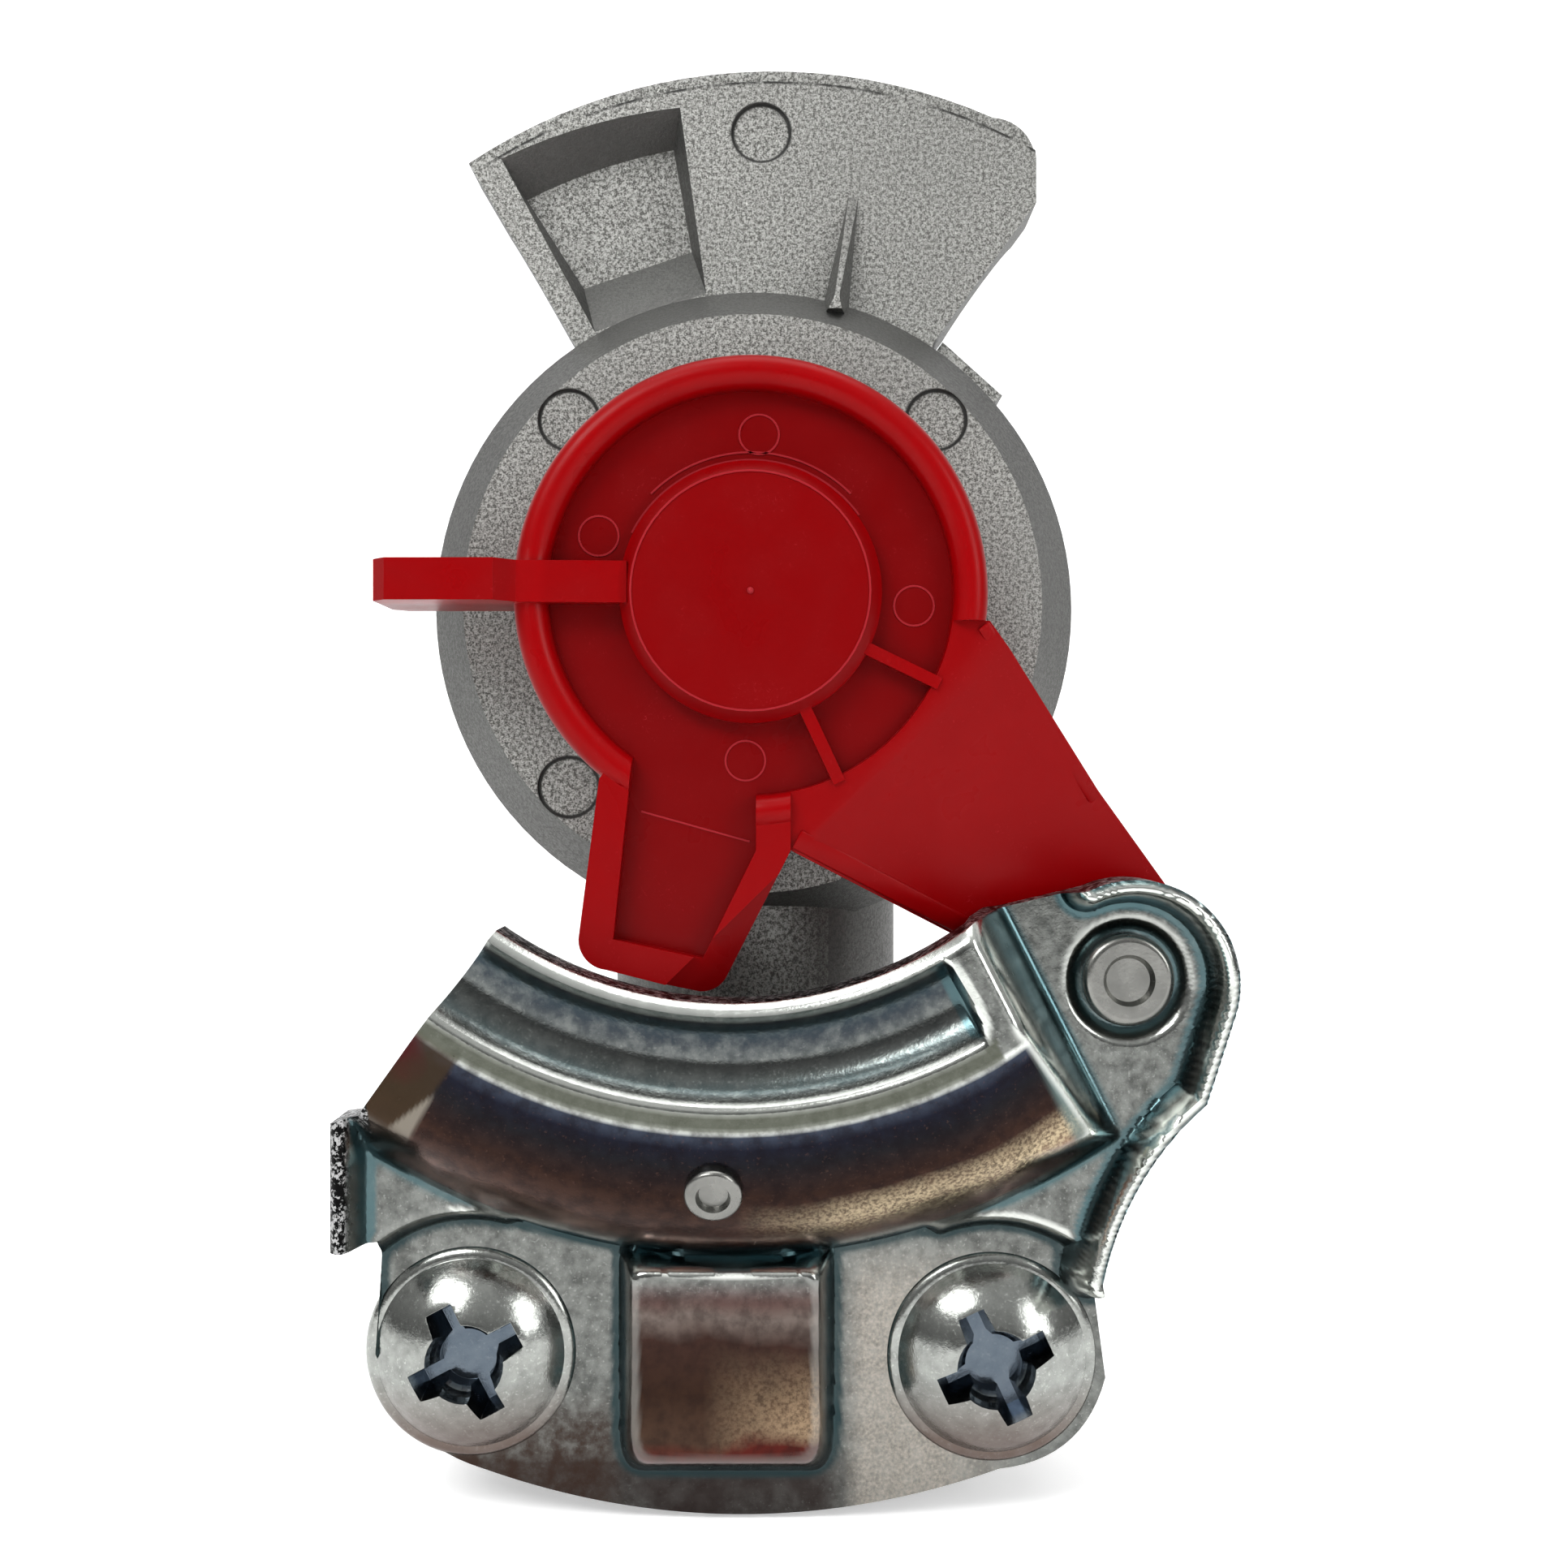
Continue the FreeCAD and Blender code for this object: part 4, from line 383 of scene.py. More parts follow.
def plate_face(across, along, sizes):
    """Give the plate's face, with and without its upstanding edges."""
    ridge = ridge_level(across, along, sizes)
    plain = over(base_level(across, along, sizes), ridge, CREST_FILLET)
    ear = nearest(across, along, ear_edge())
    tab = np.where(along < TAB_TOP + 2 * MM, across - TAB_EDGE, 1.0)
    edge = np.minimum(ear, tab - TAB_LIP)
    fall = sizes.rim_level - sizes.panel_level + RIM_FOOT
    rim = sizes.rim_level - fall * ease((edge - RIM_TOP) / RIM_RUN)
    rim = rim - np.clip(RIM_ROUND - np.minimum(ear, tab), 0, None) ** 2 / (1.0 * MM)
    return over(plain, rim, RIM_FILLET), plain


def rolled_grid(columns, rows):
    """Make a closed slab of fine squares, one unit wide and high, whose front stands at y = -1."""
    shape = bmesh.new()
    bmesh.ops.create_grid(shape, x_segments=columns, y_segments=rows, size=0.5)
    bmesh.ops.rotate(shape, verts=shape.verts, matrix=UPRIGHT)
    drawn_out(shape, bmesh.ops.extrude_face_region(shape, geom=shape.faces[:]), (0, -1, 0))
    bmesh.ops.recalc_face_normals(shape, faces=shape.faces)
    return shape


def outline_prism(sizes):
    """Make the blank that the plate is cut from: its outline with the holes, drawn through all levels."""
    shape = bmesh.new()
    loops = [plate_edge(sizes)]
    for middle, radius in ((LEFT_SCREW, SCREW_HOLE), (RIGHT_SCREW, SCREW_HOLE), (PIVOT, PIVOT_HOLE)):
        loops.append(arc((middle.x, middle.z), radius, 0, math.tau, 49)[:-1])
    behind, depth = BLANK_SPAN
    for loop in loops:
        corners = [shape.verts.new((across, behind, along)) for across, along in loop]
        for start, finish in zip(corners, corners[1:] + corners[:1]):
            shape.edges.new((start, finish))
    bmesh.ops.triangle_fill(shape, use_beauty=True, edges=shape.edges[:], normal=(0, 1, 0))
    drawn_out(shape, bmesh.ops.extrude_face_region(shape, geom=shape.faces[:]), (0, -depth, 0))
    bmesh.ops.recalc_face_normals(shape, faces=shape.faces)
    return mesh_object("plate_blank", shape)


def pressed(mesh, sizes):
    """Press the flat slab over the plate's form, its back a sheet's thickness behind the face."""
    spots = coordinates(mesh)
    angle = np.radians(GRID_TURN[0] + (spots[:, 0] + 0.5) * GRID_TURN[1])
    radius = (GRID_BAND[0] + (spots[:, 2] + 0.5) * GRID_BAND[1]) * MM
    across = CHANNEL[0] + radius * np.cos(angle)
    along = CHANNEL[1] + radius * np.sin(angle)
    face, plain = plate_face(across, along, sizes)
    probe = 0.2 * MM
    slope = np.hypot(plate_face(across + probe, along, sizes)[1] - plain,
                     plate_face(across, along + probe, sizes)[1] - plain) / probe
    back = plain - sizes.sheet * np.minimum(np.hypot(slope, 1), STEEPEST)
    level = np.where(spots[:, 1] < -0.5, face, np.clip(back, 0, None))
    mesh.vertices.foreach_set("co", np.column_stack((across, -level, along)).ravel())
    shape = bmesh.new()
    shape.from_mesh(mesh)
    bmesh.ops.recalc_face_normals(shape, faces=shape.faces)
    shape.to_mesh(mesh)
    shape.free()


def build_plate(sizes):
    """Press the sheet over its form and trim it to the outline."""
    piece = mesh_object("plate_skin", rolled_grid(*GRID_CELLS))
    pressed(piece.data, sizes)
    blank = outline_prism(sizes)
    trim = piece.modifiers.new("trim", "BOOLEAN")
    trim.operation = "INTERSECT"
    trim.solver = "MANIFOLD"
    trim.object = blank
    trimmed = evaluated(piece)
    if len(trimmed.polygons) < 1000:
        raise RuntimeError("The plate's form and its blank don't meet")
    piece.modifiers.clear()
    piece.data = trimmed
    bpy.data.objects.remove(blank)
    mark_form(piece.data, sizes)
    return piece


# Marks of the plate's form, which its finish reads

def keep_mark(mesh, name, values, domain="POINT"):
    """Keep a value for each corner or face of a mesh."""
    mesh.attributes.new(name, "FLOAT", domain).data.foreach_set("value", values)


def mark_form(mesh, sizes):
    """Mark what the finish reads: sheared edges, hollows, rolled faces, the box, and the channel's parts."""
    shade_smoothly(mesh)
    mesh.set_sharp_from_angle(angle=math.radians(50))
    normals = np.empty(len(mesh.polygons) * 3)
    mesh.polygons.foreach_get("normal", normals)
    steep = np.abs(normals.reshape(-1, 3)[:, 1]) < 0.02
    keep_mark(mesh, "sheared", steep.astype(float), "FACE")

    across, front, along = coordinates(mesh).T.copy()
    level = -front
    probe = 0.9 * MM
    mean = sum(plate_face(across + probe * math.cos(turn), along + probe * math.sin(turn), sizes)[0]
               for turn in np.linspace(0, math.tau, 9)[:-1]) / 8
    bend = (mean - plate_face(across, along, sizes)[0]) / MM
    past = from_channel(across, along) - sizes.crest_radius
    above = ridge_level(across, along, sizes) - base_level(across, along, sizes)
    on_ridge = ease(above / (0.6 * MM)) * (past < sizes.roll_radius + 1.2 * MM)
    on_box = (past > sizes.roll_radius + 0.8 * MM) & (level > 5 * MM) & (across < BOX_SIDES[1])
    box = ease((level - 6.2 * MM) / (0.8 * MM)) * ease((BOX_TOP - 1.5 * MM - along) / (2 * MM))
    marks = {
        # Concave places: the blue film pools there, with painted shade in the low ones
        "hollow": ease((bend - 0.02) / 0.22),
        # How far the sheet is rolled over the ridge, which sets its painted reflections
        "turned": on_ridge * (past / sizes.roll_radius + 1) - 1,
        "boxed": np.where(past > sizes.roll_radius, box, 0),
        # Convex edges, which the finish paints with a highlight, faint on the box
        "edge": ease((-bend - 0.09) / 0.25) * np.where(on_box, 0.16, 1),
        "lip": ease((level - sizes.rim_level + 0.8 * MM) / (0.4 * MM)) * (across < TAB_EDGE + 3 * MM),
    }
    marks.update(channel_marks(across, along, level, past, sizes))
    marks.update(mouth_marks(across, along, on_ridge))
    for name, values in marks.items():
        keep_mark(mesh, name, values)


def channel_marks(across, along, level, past, sizes):
    """Mark the trough, the strip between it and the crest, and the wall that ends them."""
    reach = along_wall(across, along)
    open_part = reach < TROUGH_END
    wall = ease((reach - TROUGH_END - 1.6 * MM) / (0.8 * MM))
    wall = wall * ease((sizes.crest_level - 0.7 * MM - level) / MM) * ease((level - 6.6 * MM) / MM)
    return {
        "trough": ease((past + 8.4 * MM) / MM) * ease((-3.8 * MM - past) / (2.4 * MM)) * open_part,
        "strip": ease((past + 1.7 * MM) / (0.4 * MM)) * (past < 0) * open_part,
        "wall": wall * (past < sizes.roll_radius) * (across < 30 * MM),
    }


def mouth_marks(across, along, on_ridge):
    """Mark the ridge's flared mouth and the wedge along its crease that gets a painted glint."""
    top, foot = MOUTH_CREASE
    run, fall = foot[0] - top[0], foot[1] - top[1]
    crease = math.hypot(run, fall)
    aside = ((across - top[0]) * fall - (along - top[1]) * run) / crease
    down = ((across - top[0]) * run + (along - top[1]) * fall) / crease / crease
    wide = np.clip(0.1 + 0.9 * down, 0, 1) * MM
    wedge = ease((wide - np.abs(aside - wide / 2)) / (0.3 * MM)) * ease(4 * down) * ease(4 - 3.6 * down)
    return {"mouth": on_ridge * ease(aside / (0.4 * MM)), "glint": on_ridge * wedge}


# Pieces that keep the CAD node's form and get broken edges

BOWL_RADIUS = 2.9 * MM
MERGE = 0.002 * MM


def soft_edged(node, name, width, cutter=None):
    """Copy a CAD node into a clean mesh whose sharp edges are rounded, in place of the node."""
    shape = bmesh.new()
    shape.from_mesh(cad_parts[node].data)
    bmesh.ops.remove_doubles(shape, verts=shape.verts, dist=MERGE)
    bmesh.ops.dissolve_limit(shape, angle_limit=math.radians(0.4), verts=shape.verts, edges=shape.edges,
                             use_dissolve_boundaries=False)
    piece = mesh_object(name, shape)
    shade_smoothly(piece.data)
    if cutter:
        hollow = piece.modifiers.new("hollow", "BOOLEAN")
        hollow.operation = "DIFFERENCE"
        hollow.solver = "EXACT"
        hollow.object = cutter
    rounding = piece.modifiers.new("rounding", "BEVEL")
    rounding.width = width
    rounding.segments = 3
    rounding.limit_method = "ANGLE"
    rounding.angle_limit = math.radians(28)
    rounding.use_clamp_overlap = True
    shading = piece.modifiers.new("shading", "WEIGHTED_NORMAL")
    shading.keep_sharp = True
    piece.data = evaluated(piece)
    piece.modifiers.clear()
    if cutter:
        bpy.data.objects.remove(cutter)
    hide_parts(node)
    return piece


def recess_bowl(node):
    """Make the ball that hollows the middle of a cross recess, so that its wings get rounded shoulders."""
    low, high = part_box(node)
    shape = bmesh.new()
    bmesh.ops.create_uvsphere(shape, u_segments=32, v_segments=16, radius=BOWL_RADIUS)
    bmesh.ops.rotate(shape, verts=shape.verts, matrix=UPRIGHT)
    middle = ((low[0] + high[0]) / 2, low[1], (low[2] + high[2]) / 2)
    bmesh.ops.translate(shape, verts=shape.verts, vec=middle)
    return mesh_object("recess_bowl", shape)


def wound_spring():
    """Copy the valve's spring into a piece of its own."""
    shape = bmesh.new()
    shape.from_mesh(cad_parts["valve_spring"].data)
    bmesh.ops.remove_doubles(shape, verts=shape.verts, dist=MERGE / 2)
    coil = mesh_object("spring_coil", shape)
    shade_smoothly(coil.data)
    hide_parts("valve_spring")
    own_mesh(coil)
    return coil


# Dust cap details

ARM_LEVEL = 8.0 * MM
ARM_FALL_START = 16.0 * MM
ARM_FALL = 5.2 / 12.5
ARM_BORDERS = (((2.9 * MM, -18.7 * MM), (20.9 * MM, -28.3 * MM), 1.7 * MM),
               ((17.3 * MM, -2.1 * MM), (33.1 * MM, -24.2 * MM), -1.1 * MM))
BORDER_HEIGHT = 0.4 * MM
BORDER_SINK = 0.3 * MM
BORDER_ROUND = 0.16 * MM
CAP_FLOOR = 6.8 * MM
MARK_SPOTS = ((-11.1 * MM, 4.2 * MM), (11.9 * MM, -0.9 * MM), (-0.4 * MM, -12.2 * MM), (0.6 * MM, 11.6 * MM))
MARK_RADIUS = 1.45 * MM
BOSS_LINES = ((8.62 * MM, 8.8 * MM, 0, math.tau), (9.75 * MM, 6.8 * MM, 0.2 * math.pi, 0.85 * math.pi),
              (10.3 * MM, 6.8 * MM, 0.25 * math.pi, 0.75 * math.pi))
WIRE = 0.07 * MM
GATE_RADIUS = 0.25 * MM
GATE_DEPTH = 1.8 * MM
SEAM = ((-8.0 * MM, -15.9 * MM), (-0.1 * MM, -18.1 * MM))


def arm_top(across, along):
    """Give the level of the cap's arm, which falls away towards the pivot."""
    out = (across * PIVOT.x + along * PIVOT.z) / math.hypot(PIVOT.x, PIVOT.z)
    return ARM_LEVEL - max(out - ARM_FALL_START, 0) * ARM_FALL


def add_border(shape, root, end, width):
    """Add one raised border along an edge of the arm, with soft corners."""
    way = Vector((end[0] - root[0], end[1] - root[1]))
    inward = Vector((-way.y, way.x)).normalized() * width
    bottom = []
    for share, aside in ((0, 0.12), (0.75, 0.12), (0.75, 1), (0, 1)):
        spot = Vector(root) + way * share + inward * aside
        bottom.append(shape.verts.new((spot.x, BORDER_SINK - arm_top(spot.x, spot.y), spot.y)))
    face = shape.faces.new(bottom)
    drawn_out(shape, bmesh.ops.extrude_face_region(shape, geom=[face]), (0, -BORDER_HEIGHT - BORDER_SINK, 0))


def add_wire(shape, level, line):
    """Add one fine raised moulding line at a level, half sunk in the surface."""
    points = [Vector((across, -level, along)) for across, along in line]
    for start, finish in zip(points, points[1:]):
        way = (finish - start).normalized()
        out = way.cross(Vector((0, 1, 0))) * WIRE
        corners = [start - out, start + out, finish + out, finish - out]
        face = shape.faces.new([shape.verts.new(corner + Vector((0, WIRE, 0))) for corner in corners])
        drawn_out(shape, bmesh.ops.extrude_face_region(shape, geom=[face]), (0, -2 * WIRE, 0))


def cap_borders():
    """Model the raised borders of the arm."""
    shape = bmesh.new()
    for root, end, width in ARM_BORDERS:
        add_border(shape, root, end, width)
    bmesh.ops.recalc_face_normals(shape, faces=shape.faces)
    bmesh.ops.bevel(shape, geom=shape.edges[:], offset=BORDER_ROUND, segments=2, profile=0.5, affect="EDGES",
                    material=-1, clamp_overlap=True)
    piece = mesh_object("arm_borders", shape)
    shade_smoothly(piece.data)
    piece.data.set_sharp_from_angle(angle=math.radians(40))
    return piece


def cap_marks():
    """Model the ejector rings, the gate's dot and the parting line that the mould leaves."""
    shape = bmesh.new()
    for middle in MARK_SPOTS:
        add_wire(shape, CAP_FLOOR, arc(middle, MARK_RADIUS, 0, math.tau, 33))
    add_wire(shape, CAP_FLOOR, SEAM)
    for radius, level, start, finish in BOSS_LINES:
        add_wire(shape, level, arc((0, 0), radius, start, finish, 61))
    gate = bmesh.ops.create_uvsphere(shape, u_segments=16, v_segments=8, radius=GATE_RADIUS)
    bmesh.ops.translate(shape, verts=gate["verts"], vec=(0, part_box("dust_cap")[0][1] + GATE_DEPTH, 0))
    bmesh.ops.recalc_face_normals(shape, faces=shape.faces)
    return mesh_object("cap_marks", shape)


# Materials

class Recipe:
    """Puts together the nodes of a material, a group or the world, which look at one place."""

    def __init__(self, tree, where=None):
        self.nodes = tree.nodes
        self.links = tree.links
        self.where = self.nodes.new("ShaderNodeTexCoord").outputs["Object"] if where is None else where
        self.spot = None

    def feed(self, socket, value):
        """Give a socket its value: another socket, a colour or a number."""
        if isinstance(value, bpy.types.NodeSocket):
            self.links.new(value, socket)
        elif isinstance(value, tuple):
            socket.default_value = (*value, 1)
        else:
            socket.default_value = value

    def split(self, way):
        """Give the X, Y and Z parts of a place or a direction."""
        node = self.nodes.new("ShaderNodeSeparateXYZ")
        self.links.new(way, node.inputs[0])
        return node.outputs

    def mark(self, name):
        """Read one of the form's marks."""
        node = self.nodes.new("ShaderNodeAttribute")
        node.attribute_name = name
        return node.outputs["Fac"]

    def noise(self, scale, detail=2.0, roughness=0.5, distortion=0.0):
        """Add a noise pattern, its scale in cells a metre."""
        node = self.nodes.new("ShaderNodeTexNoise")
        for name, value in (("Vector", self.where), ("Scale", scale), ("Detail", detail),
                            ("Roughness", roughness), ("Distortion", distortion)):
            self.feed(node.inputs[name], value)
        return node.outputs["Fac"]

    def ramp(self, value, low, high, start=0.0, finish=1.0):
        """Stretch the part of a value between low and high, and clip it."""
        node = self.nodes.new("ShaderNodeMapRange")
        for name, given in (("Value", value), ("From Min", low), ("From Max", high), ("To Min", start),
                            ("To Max", finish)):
            self.feed(node.inputs[name], given)
        return node.outputs["Result"]

    def fade(self, axis, low, high, start=0.0, finish=1.0):
        """Fade in along an axis, between two places."""
        if self.spot is None:
            self.spot = self.split(self.where)
        return self.ramp(self.spot[axis], low, high, start, finish)

    def mixed(self, share, first, second):
        """Mix two colours."""
        node = self.nodes.new("ShaderNodeMix")
        node.data_type = "RGBA"
        for place, value in (("Factor", share), (6, first), (7, second)):
            self.feed(node.inputs[place], value)
        return node.outputs[2]

    def layered(self, base, *layers):
        """Lay tones over a colour one after another, each as far as its share says."""
        for share, tone in layers:
            base = self.mixed(share, base, tone)
        return base

    def band(self, value, stops):
        """Run a value through a band of colours, given as places and tones."""
        node = self.nodes.new("ShaderNodeValToRGB")
        elements = node.color_ramp.elements
        while len(elements) < len(stops):
            elements.new(0.5)
        for element, (place, tone) in zip(elements, stops):
            element.position = place
            element.color = (*tone, 1)
        self.links.new(value, node.inputs["Fac"])
        return node.outputs["Color"]

    def figure(self, operation, first, second=0.0):
        """Work out a sum of two values."""
        node = self.nodes.new("ShaderNodeMath")
        node.operation = operation
        self.feed(node.inputs[0], first)
        self.feed(node.inputs[1], second)
        return node.outputs[0]

    def plus(self, first, second):
        """Add two values."""
        return self.figure("ADD", first, second)

    def times(self, first, *others):
        """Multiply values."""
        for other in others:
            first = self.figure("MULTIPLY", first, other)
        return first

    def distance_from(self, middle):
        """Give the distance from an axis that runs front to back through (across, along)."""
        moved = self.nodes.new("ShaderNodeVectorMath")
        moved.operation = "MULTIPLY_ADD"
        self.links.new(self.where, moved.inputs[0])
        moved.inputs[1].default_value = (1, 0, 1)
        moved.inputs[2].default_value = (-middle[0], 0, -middle[1])
        far = self.nodes.new("ShaderNodeVectorMath")
        far.operation = "LENGTH"
        self.links.new(moved.outputs["Vector"], far.inputs[0])
        return far.outputs["Value"]

    def disc(self, middle, radius):
        """Mark everything within a radius of an axis."""
        return self.ramp(self.distance_from(middle), radius, 0.97 * radius)

    def ring(self, middle, radius, width):
        """Mark a thin circle round an axis."""
        off = self.figure("SUBTRACT", self.distance_from(middle), radius)
        return self.ramp(self.figure("ABSOLUTE", off), width, 0.4 * width)

    def grain(self, coarse, fine):
        """Place the grain: its specks and its height."""
        node = self.nodes.new("ShaderNodeGroup")
        node.node_tree = bpy.data.node_groups.get("grain") or grain_group()
        for name, value in (("Vector", self.where), ("Coarse", coarse), ("Fine", fine)):
            self.feed(node.inputs[name], value)
        return node.outputs["Specks"], node.outputs["Height"]

    def bump(self, height, depth, shader, strength):
        """Raise a shader's surface by a height pattern, its depth in metres."""
        node = self.nodes.new("ShaderNodeBump")
        for name, value in (("Strength", strength), ("Distance", depth), ("Height", height)):
            self.feed(node.inputs[name], value)
        self.links.new(node.outputs["Normal"], shader.inputs["Normal"])


def grain_group():
    """Build the grain shared by the rough metals: coarse and fine specks."""
    group = bpy.data.node_groups.new("grain", "ShaderNodeTree")
    group.interface.new_socket("Vector", in_out="INPUT", socket_type="NodeSocketVector")
    for name, side in (("Coarse", "INPUT"), ("Fine", "INPUT"), ("Specks", "OUTPUT"), ("Height", "OUTPUT")):
        group.interface.new_socket(name, in_out=side, socket_type="NodeSocketFloat")
    given = group.nodes.new("NodeGroupInput").outputs
    result = group.nodes.new("NodeGroupOutput").inputs
    recipe = Recipe(group, given["Vector"])
    both = recipe.plus(recipe.noise(given["Coarse"], 3, 0.65), recipe.noise(given["Fine"], 3, 0.65))
    recipe.feed(result["Specks"], recipe.ramp(both, 0.86, 1.14))
    recipe.feed(result["Height"], both)
    return group


def new_material(name):
    """Start a material, and give it with its recipe and shader."""
    material = bpy.data.materials.new(name)
    material.use_nodes = True
    recipe = Recipe(material.node_tree)
    return material, recipe, recipe.nodes["Principled BSDF"]


def finish_shader(recipe, shader, base, matt):
    """Give a shader its colour and its roughness."""
    recipe.feed(shader.inputs["Base Color"], base)
    recipe.feed(shader.inputs["Roughness"], matt)


def rubbed(tone, share):
    """Give a brighter or deeper tone of a colour."""
    return tuple(min(0.95, share * part) for part in tone)


# Zinc plating

SHEARED_PIT = (0.006, 0.006, 0.006)
SHEARED_METAL = (0.42, 0.42, 0.42)
# Painted shade deep in the screws' cross recesses
RECESS_SHADE = (0.05, 0.075, 0.11)
RECESS_MOUTH = -6.3 * MM
RECESS_RADIUS = 4.8 * MM
FILM_SPOT = (0.008, 0.006, 0.007)
# Painted golden sheen on the middle of the roll at the right
PAINTED_SHEEN = (0.42, 0.34, 0.22)
# Painted reflection tones on the ridge's flared mouth
MOUTH_BROWN_REFLECTION = (0.036, 0.024, 0.014)
MOUTH_RED_REFLECTION = (0.058, 0.010, 0.010)
# Painted glint on the wedge along the mouth's crease
WEDGE_GLINT = (0.20, 0.18, 0.15)
FOOT_BROWN = (0.020, 0.013, 0.012)
# Painted sandy highlight on the flats at the right
SEAT_HIGHLIGHT = (0.34, 0.31, 0.27)
SEAT_BROWN = (0.034, 0.020, 0.015)
# Painted dark reflection in the trough
TROUGH_DARK_REFLECTION = (0.026, 0.029, 0.038)
STRIP_GREEN = (0.075, 0.080, 0.060)
WALL_GREEN = (0.12, 0.18, 0.175)
BOX_SPOT = (0.016, 0.010, 0.009)
# Painted reflections on the embossed box: a sandy highlight, and bands of colour from its foot to its top
BOX_HIGHLIGHT = (0.25, 0.175, 0.110)
BOX_HEIGHT = 14.6 * MM
BOX_REFLECTION_BANDS = ((0.04, (0.075, 0.014, 0.011)), (0.12, (0.055, 0.032, 0.022)), (0.34, (0.030, 0.016, 0.011)),
             (0.62, (0.036, 0.019, 0.015)), (0.76, (0.125, 0.100, 0.088)), (0.86, (0.070, 0.036, 0.032)),
             (0.93, (0.070, 0.011, 0.012)), (1.0, (0.012, 0.007, 0.007)))


def zinc_noises(recipe):
    """Give the plating's cloudy, mottled and fine patterns."""
    return recipe.noise(110, 3, 0.5, 0.6), recipe.noise(850, 4, 0.62), recipe.noise(3800, 3, 0.6)


def zinc_peel(recipe, noises, zinc, deep):
    """Give bright zinc's colour, its roughness and the height of its fine peel."""
    mottle, fine = noises[1:]
    base = recipe.mixed(recipe.ramp(mottle, 0.36, 0.66), rubbed(zinc, 1.25), rubbed(zinc, deep))
    base = recipe.mixed(recipe.ramp(fine, 0.58, 0.72, 0.0, 0.5), base, rubbed(zinc, 2.4))
    matt = recipe.plus(recipe.ramp(mottle, 0.35, 0.7, 0.12, 0.24), recipe.ramp(fine, 0.35, 0.8, 0.0, 0.07))
    return base, matt, recipe.plus(recipe.times(mottle, 1.6), fine)


def finish_zinc(recipe, shader, base, matt, height):
    """Join the plating's patterns to the shader."""
    finish_shader(recipe, shader, base, matt)
    shader.inputs["Metallic"].default_value = 1.0
    recipe.bump(height, 0.016 * MM, shader, 0.6)


def sheet_material(finishes):
    """Bright zinc on the pressed sheet: blue film in the hollows with painted shade in the low ones, painted
    reflections and highlights on the roll, the box and the flats, a painted highlight on the convex edges,
    and sheared edges.
    """
    material, recipe, shader = new_material("zinc_sheet")
    noises = zinc_noises(recipe)
    zinc = tuple(finishes.zinc)
    base, matt, height = zinc_peel(recipe, noises, zinc, 0.6)
    base = painted_roll_reflections(recipe, noises, finishes, base)
    base = recipe.mixed(recipe.mark("boxed"), base, painted_box_reflections(recipe, noises))
    base = seat_tones_and_highlight(recipe, noises, base)
    base = channel_tints_and_reflection(recipe, noises, base)
    base = pooled_film_and_shade(recipe, noises, tuple(finishes.zinc_tint), base)
    # Painted highlight along the convex edges
    base = recipe.mixed(recipe.times(recipe.mark("edge"), 0.85), base, rubbed(zinc, 5.0))
    sheared = recipe.figure("MAXIMUM", recipe.mark("sheared"), recipe.mark("lip"))
    specks, rough_height = recipe.grain(1500, 3400)
    torn = recipe.mixed(recipe.ramp(specks, 0.5, 0.85), SHEARED_PIT, SHEARED_METAL)
    matt = recipe.plus(matt, recipe.times(sheared, 0.25))
    height = recipe.plus(height, recipe.times(sheared, rough_height))
    finish_zinc(recipe, shader, recipe.mixed(sheared, base, torn), matt, height)
    return material


def painted_roll_reflections(recipe, noises, finishes, base):
    """Paint reflections over the ridge as a band of colours that follows how far the sheet is rolled over."""
    cloud, mottle, fine = noises
    zinc, straw_reflection = tuple(finishes.zinc), tuple(finishes.zinc_straw_reflection)
    shift = recipe.times(recipe.figure("SUBTRACT", cloud, 0.5), 0.32)
    turned = recipe.mark("turned")
    turned = recipe.plus(turned, recipe.times(shift, turned))
    # Painted reflections: a bright crest line, dark blue and black where the roll faces the front, then
    # browns, a sandy highlight and red, and black at the foot
    reflection_band = recipe.band(turned, (
        (0.0, rubbed(zinc, 5.0)), (0.035, (0.035, 0.043, 0.062)), (0.12, (0.010, 0.011, 0.018)),
        (0.24, (0.012, 0.012, 0.014)), (0.45, rubbed(straw_reflection, 0.9)), (0.66, rubbed(straw_reflection, 1.8)),
        (0.8, rubbed(straw_reflection, 6.0)), (0.9, (0.085, 0.028, 0.022)), (0.97, (0.010, 0.008, 0.008))))
    # Painted reflection on the flared mouth: brown and red, mixed by a cloud
    mouth = recipe.mixed(recipe.ramp(cloud, 0.42, 0.6), MOUTH_BROWN_REFLECTION, MOUTH_RED_REFLECTION)
    # Painted sheen: a golden highlight on the roll's middle band, at the right, broken by fine noise
    sheen = recipe.times(recipe.ramp(turned, 0.5, 0.66), recipe.ramp(turned, 0.84, 0.72),
                         recipe.fade("X", -1 * MM, 7 * MM), recipe.ramp(fine, 0.38, 0.6, 0.25, 1.0))
    # Over the painted reflections lie random dark spots and bright specks, the mouth's painted reflection,
    # the painted glint and the painted sheen
    reflection_band = recipe.layered(
        reflection_band,
        (recipe.ramp(mottle, 0.4, 0.62, 0.0, 0.5), FILM_SPOT),
        (recipe.ramp(fine, 0.6, 0.75, 0.0, 0.3), rubbed(straw_reflection, 3.5)),
        (recipe.times(recipe.mark("mouth"), 0.8), mouth),
        (recipe.times(recipe.mark("glint"), 0.8), WEDGE_GLINT),
        (sheen, PAINTED_SHEEN))
    return recipe.mixed(recipe.ramp(turned, -0.03, -0.005), base, reflection_band)


